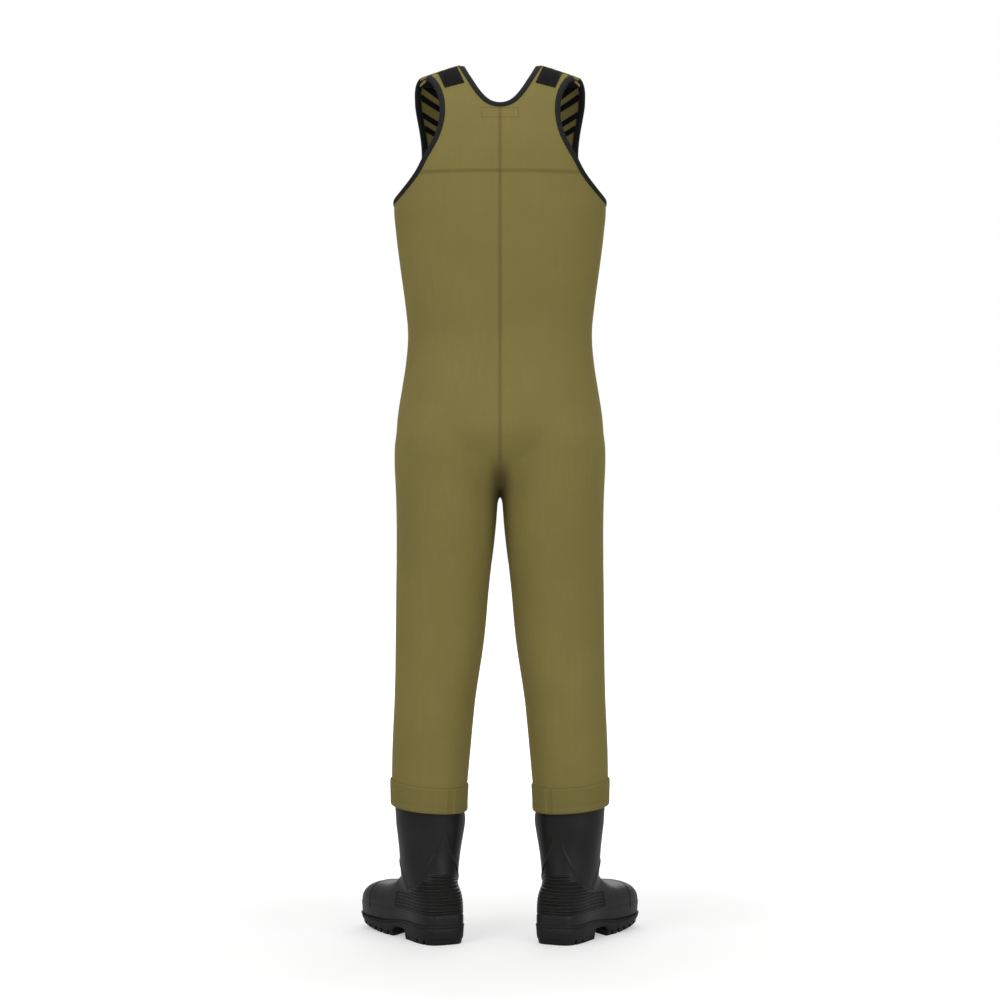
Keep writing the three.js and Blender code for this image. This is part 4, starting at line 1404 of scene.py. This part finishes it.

# %% [markdown]
# A boot is built pointing along +Y with its ankle over the origin, then turned toe-out and mirrored for the
# other foot. As with the suit, a foot form and a shaft form are merged with a voxel remesh. The moulded
# relief is then pushed out of the skin: the raised lines that cross the ankle, the toe cap, the spur for
# kicking the boot off and a low swell for each rib round the heel, which the material sharpens with a bump
# and with painted shade in the hollows between the ribs. The outline of the boot just above the floor is
# kept for the sole.

# %% Boot uppers
TOE_OUT = math.radians(27)
BOOT_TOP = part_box("boot_upper_left")[1].z
BOOT_WALL = 0.0035
BOOT_VOXEL = 0.0021
SOLE_TOP = 0.031
# Along the foot: distance forward, half width, height of the top, height of the underside, sideways shift.
FOOT = [(-0.0745, 0.022, 0.072, 0.016, 0.0), (-0.0695, 0.0295, 0.088, 0.016, 0.0),
        (-0.058, 0.0365, 0.105, 0.016, 0.0), (-0.03, 0.0405, 0.122, 0.016, 0.0),
        (0.01, 0.0385, 0.13, 0.016, 0.001), (0.045, 0.039, 0.117, 0.016, 0.002),
        (0.075, 0.0425, 0.096, 0.016, 0.003), (0.105, 0.0465, 0.0865, 0.016, 0.003),
        (0.135, 0.0495, 0.085, 0.016, 0.002), (0.16, 0.0495, 0.0825, 0.016, 0.0),
        (0.181, 0.0455, 0.0765, 0.017, -0.002), (0.196, 0.0365, 0.067, 0.019, -0.003),
        (0.2045, 0.022, 0.053, 0.022, -0.003)]
# Up the shaft: height, reach back, reach forward, half width.
SHAFT = [(0.055, 0.068, 0.045, 0.037), (0.08, 0.068, 0.055, 0.040), (0.1, 0.066, 0.059, 0.044),
         (0.125, 0.0615, 0.0605, 0.0475), (0.15, 0.058, 0.0595, 0.051), (0.175, 0.0575, 0.059, 0.0553),
         (0.2, 0.0585, 0.0588, 0.0595), (0.214, 0.0588, 0.0586, 0.0598), (0.23, 0.0582, 0.0578, 0.0582),
         (0.25, 0.0577, 0.0572, 0.0577), (0.31, 0.0565, 0.0565, 0.0565)]
LEAN_LOW, LEAN_HIGH, LEAN = 0.1, 0.2, -0.003
FOOT_SIDES = 72
RELAX_BOOT, RELAX_INSTEP, RELAX_ANKLE = 9, 22, 12


def foot_ring(y):
    (half_width, top, bottom, shift) = read_foot(y)
    middle, reach = (top + bottom) / 2, (top - bottom) / 2

    def ring(turn):
        angle = turn * 2 * math.pi
        cos, sin = math.cos(angle), math.sin(angle)
        power = 2 / 2.5 if sin > 0 else 2 / 6
        x = math.copysign(abs(cos) ** power, cos) * half_width
        z = math.copysign(abs(sin) ** power, sin) * reach
        return Vector((x + shift, y, middle + z))
    return ring


def shaft_ring(z):
    back, front, width = read_shaft(z)

    def ring(turn):
        angle = turn * 2 * math.pi
        y = math.sin(angle)
        lean = LEAN * (ease(LEAN_LOW, LEAN_HIGH, z) - ease(LEAN_HIGH + 0.008, LEAN_HIGH + 0.03, z))
        return Vector((math.cos(angle) * width + lean, y * (front if y > 0 else back), z))
    return ring


read_foot = smooth_table([(row[0], row[1:]) for row in FOOT])
read_shaft = smooth_table([(row[0], row[1:]) for row in SHAFT])
foot_form = loft([foot_ring(y) for y in steps(FOOT[0][0], FOOT[-1][0], 90)], FOOT_SIDES)
shaft_form = loft([shaft_ring(z) for z in steps(SHAFT[0][0], SHAFT[-1][0], 70)], FOOT_SIDES)
boot = remeshed("boot form", join(foot_form, shaft_form), BOOT_VOXEL)
relax(boot, boot.verts, RELAX_BOOT)
instep = [v for v in boot.verts if 0.02 < v.co.y < 0.12 and 0.07 < v.co.z < 0.17]
relax(boot, instep, RELAX_INSTEP)
ankle = [v for v in boot.verts if 0.045 < v.co.z < 0.17 and v.co.y < 0.09]
relax(boot, ankle, RELAX_ANKLE)
boot.normal_update()

RIB_LOW, RIB_HIGH = 0.0515, 0.1175
RIB_DEEP = 0.0006
# The raised line that sweeps down each side of the shaft: angle from the back, height.
SWEEP_LINE = [(0.05, 0.192), (0.23, 0.155), (0.6, 0.118), (0.98, 0.101), (1.5, 0.09)]
FRONT_LINE = [(2.7, 0.142), (2.1, 0.131), (1.75, 0.112), (1.5, 0.09)]
LINE_WIDE = 0.0022
LINE_PROUD = 0.0015
SHAFT_RADIUS = 0.052


def bead(distance, width, height):
    """A rounded ridge on a line, with a shallow groove along each side."""
    share = distance / width
    return height * (1.0 - 0.9 * share**2) * math.exp(-share**2)


def distance_to(path, u, z):
    """Distance on the unrolled shaft from (u, z) to a path of (angle, height) points."""
    at = Vector((u * SHAFT_RADIUS, z))
    best = 1.0
    for (u0, z0), (u1, z1) in zip(path, path[1:]):
        a, b = Vector((u0 * SHAFT_RADIUS, z0)), Vector((u1 * SHAFT_RADIUS, z1))
        t = min(max((at - a).dot(b - a) / (b - a).length_squared, 0), 1)
        best = min(best, (at - a.lerp(b, t)).length)
    return best


def sweep_height(u):
    """The height of the sweeping line at an angle from the back."""
    for (u0, z0), (u1, z1) in zip(SWEEP_LINE, SWEEP_LINE[1:]):
        if u <= u1:
            return z0 + (z1 - z0) * (max(u, u0) - u0) / (u1 - u0)
    return SWEEP_LINE[-1][1]


def rib_border(z):
    """How far forward the ribs reach at a height."""
    return 0.041 + 0.3 * (0.095 - z)


def rib_zone(p):
    """1 where the heel is ribbed, 0 elsewhere."""
    x, y, z = p
    if not RIB_LOW < z < RIB_HIGH:
        return 0.0
    u = abs(math.atan2(x, -y))
    upper = 1 - ease(0.3, 0.5, u) if z > 0.105 else 1 - ease(-0.013, -0.006, z - sweep_height(u))
    upper = max(upper, 0) if z > 0.083 else 1
    return upper * (1 - ease(-0.007, -0.003, y - rib_border(z)))


def relief(p):
    """How far the moulded relief lifts the boot's skin at a point."""
    x, y, z = p
    u = abs(math.atan2(x, -y))
    found = 0.0
    if z > 0.08:
        found += bead(distance_to(SWEEP_LINE, u, z), LINE_WIDE, LINE_PROUD) * ease(0.0, 0.2, u)
        found += bead(distance_to(FRONT_LINE, u, z), LINE_WIDE, LINE_PROUD)
    elif z > RIB_LOW:
        found += bead(y - rib_border(z), LINE_WIDE, LINE_PROUD)
    wave = 0.5 + 0.5 * math.sin(2 * math.pi * z / RIB_PITCH)
    found += RIB_DEEP * (wave - 0.35) * rib_zone(p)
    cap_line = 0.151 - 6.0 * (x + 0.002) ** 2
    if y > 0.1 and z > 0.04:
        found += bead(y - cap_line, LINE_WIDE, LINE_PROUD * 0.9) + 0.0006 * ease(0, 0.002, y - cap_line)
    found += bead(z - 0.0495, 0.0016, -0.0006) + 0.0005 * (1 - ease(0.0475, 0.0495, z))
    if y < 0:
        spur = math.exp(-(x / 0.017) ** 2 - ((z - 0.0585) / 0.0038) ** 2)
        found += 0.0034 * spur
    return found


def place_boot(bm, side):
    """Turns a boot toe-out, and mirrors it for the left foot."""
    turn = Matrix.Rotation(-TOE_OUT, 4, "Z")
    move = Matrix.Translation((BOOT_CENTRE, MID_Y, 0))
    bmesh.ops.transform(bm, matrix=move @ turn, verts=bm.verts)
    if side < 0:
        bmesh.ops.transform(bm, matrix=Matrix.Scale(-1, 4, (1, 0, 0)), verts=bm.verts)
        bmesh.ops.reverse_faces(bm, faces=bm.faces)
    return bm


FOOTPRINT_Z = 0.036
SOLE_SIDES = 160
slice_of_boot = split(boot, [((0, 0, FOOTPRINT_Z), (0, 0, 1))], lambda p: p.z > FOOTPRINT_Z)
footprint = max(chain([e for e in slice_of_boot.edges if e.is_boundary]), key=len)
slice_of_boot.free()
if sum(a.cross(b).z for a, b in zip(footprint, footprint[1:] + footprint[:1])) < 0:
    footprint.reverse()
footprint = even_points(footprint + footprint[:1], SOLE_SIDES)[:-1]
footprint = [Vector((p.x, p.y)) for p in soften(footprint, 6)]

tape_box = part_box("boot_seal_tape_right")
BOOT_CENTRE = (tape_box[0].x + tape_box[1].x) / 2
zone = boot.verts.layers.float.new("rib zone")
for vert in boot.verts:
    vert[zone] = rib_zone(vert.co)
    vert.co += vert.normal * relief(vert.co)
trim(boot, BOOT_TOP, 1)
thicken(boot, BOOT_WALL)
print("boot has", len(boot.faces), "faces")

# %% [markdown]
# The sole is one moulding: a wall round the foot, a deep heel block, a shallow arch and a treaded forefoot
# that curls up a little at the toe. Its outline is the boot's own, grown by a welt. The tread is a slab from
# which a grid of grooves is cut.

# %% Soles
WELT = 0.0026
HEEL_END = 0.016
ARCH_END = 0.06
TREAD_DEEP = 0.008
ARCH_RISE = 0.010
CURL_START, CURL_END, CURL_RISE = 0.075, 0.2, 0.0135


def outline(turn, grow):
    """The sole's outline at one turn, as (x, y), grown outwards."""
    i = round(turn * SOLE_SIDES) % SOLE_SIDES
    at, ahead, behind = footprint[i], footprint[(i + 1) % SOLE_SIDES], footprint[i - 1]
    along = (ahead - behind).normalized()
    return Vector((at.x + along.y * grow, at.y - along.x * grow))


def curl(y):
    """How far the sole rises off the floor towards the toe."""
    return CURL_RISE * min(max((y - CURL_START) / (CURL_END - CURL_START), 0), 1.1) ** 1.5


def underside(y):
    """The height of the sole's flat underside, above the tread."""
    arch = ease(HEEL_END - 0.001, HEEL_END + 0.001, y) * (1 - ease(ARCH_END - 0.012, ARCH_END + 0.004, y))
    return TREAD_DEEP + ARCH_RISE * arch + curl(y)


def sole_height(y):
    """The top line of the sole, deeper at the heel than under the ball of the foot."""
    return SOLE_TOP + 0.0015 - 0.0085 * ease(0.0, 0.1, y) + 0.003 * ease(0.15, 0.2, y)


# The wall's section as (share of its height, growth of the outline), in metres, from the bottom.
WALL = [(0.0, -0.004), (0.0, -0.0005), (0.05, 0.0004), (0.2, 0.0012), (0.55, WELT - 0.0008),
        (0.8, WELT - 0.0003), (0.84, WELT - 0.0012), (0.88, WELT), (0.94, WELT + 0.0004), (1.0, WELT),
        (1.0, WELT - 0.001), (1.0, -0.006)]


def wall_ring(share, grow):
    def ring(turn):
        at = outline(turn, grow)
        low, high = underside(at.y), sole_height(at.y)
        return Vector((at.x, at.y, low + (high - low) * share))
    return ring


sole = loft([wall_ring(share, grow) for share, grow in WALL], SOLE_SIDES)


def tread_ring(grow, z):
    def ring(turn):
        at = outline(turn, grow)
        return Vector((at.x, at.y, z(at.y)))
    return ring


slab = loft([tread_ring(-0.0035, curl), tread_ring(-0.0022, lambda y: 0.001 + curl(y)),
             tread_ring(-0.0006, lambda y: TREAD_DEEP + 0.001 + curl(y))], SOLE_SIDES)
grooves = []


def groove(centre, size, turn=0.0):
    bm = bmesh.new()
    matrix = Matrix.Translation(centre) @ Matrix.Rotation(turn, 4, "Z") @ Matrix.Diagonal((*size, 1))
    bmesh.ops.create_cube(bm, size=1, matrix=matrix)
    grooves.append(bm)


def groove_pair(x, y, size, turn=0.0):
    """A groove at each side of the sole, slanting back from the middle by turn."""
    for way in (-1, 1):
        groove((x * way, y, 0), size, -turn * way)


groove((0, (HEEL_END + ARCH_END) / 2, 0), (0.2, ARCH_END - HEEL_END, 0.1))
for y in (-0.052, -0.03):
    groove_pair(0.03, y, (0.038, 0.0045, 0.1), 0.35)
for y in (-0.004, 0.003, 0.01):
    groove_pair(0.034, y, (0.02, 0.0024, 0.1))
groove((0, -0.03, 0), (0.006, 0.055, 0.1))
for i in range(7):
    y = ARCH_END + 0.012 + i * 0.0205
    groove_pair(0.03, y + 0.006, (0.062, 0.0052, 0.1), 0.32)
groove_pair(0.012, 0.13, (0.003, 0.19, 0.1))
tread = carve(new_object("tread slab", slab), new_object("tread grooves", join(*grooves)), use_self=True)
sole = join(sole, tread)
print("sole has", len(sole.faces), "faces")

for name, side in SIDES:
    upper = new_object(f"boot_upper_rubber_{name}", place_boot(boot.copy(), side))
    upper.data.materials.append(boot_rubber)
    bottom = new_object(f"boot_sole_rubber_{name}", place_boot(sole.copy(), side))
    bottom.data.materials.append(sole_rubber)
    for obj, slot in ((upper, "boot_rubber"), (bottom, "sole_rubber")):
        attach(obj, f"shin_{name}")
    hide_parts(f"boot_upper_{name}", f"boot_foxing_{name}")
    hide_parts(f"boot_midsole_{name}", f"boot_outsole_{name}")
    for part, finish in (("boot_insole", felt), ("boot_seal_tape", webbing)):
        node = frame["nodes"][f"{part}_{name}"]
        node.data.materials.clear()
        node.data.materials.append(finish)
boot.free()
sole.free()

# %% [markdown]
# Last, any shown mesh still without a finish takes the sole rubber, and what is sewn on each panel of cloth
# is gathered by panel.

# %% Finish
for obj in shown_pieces():
    if obj.type == "MESH" and not obj.data.materials:
        obj.data.materials.append(sole_rubber)
# The pieces that lie on or are sewn to each panel of cloth.
on_cloth = {}
for obj in bindings + binding_threads + list(flat_pieces.values()):
    side_name = "left" if "left" in obj.name else "right"
    kind = "front_strap" if "strap" in obj.name or "hook" in obj.name or "grip" in obj.name else "back_yoke"
    on_cloth.setdefault(f"{kind}_{side_name}", []).append(obj)
on_cloth["body_left"] = [seam_threads, patch_stitching, tab]
for cuff in cuff_pieces:
    leg = cuff.name.replace("cuff_cloth", "lower_leg_cloth")
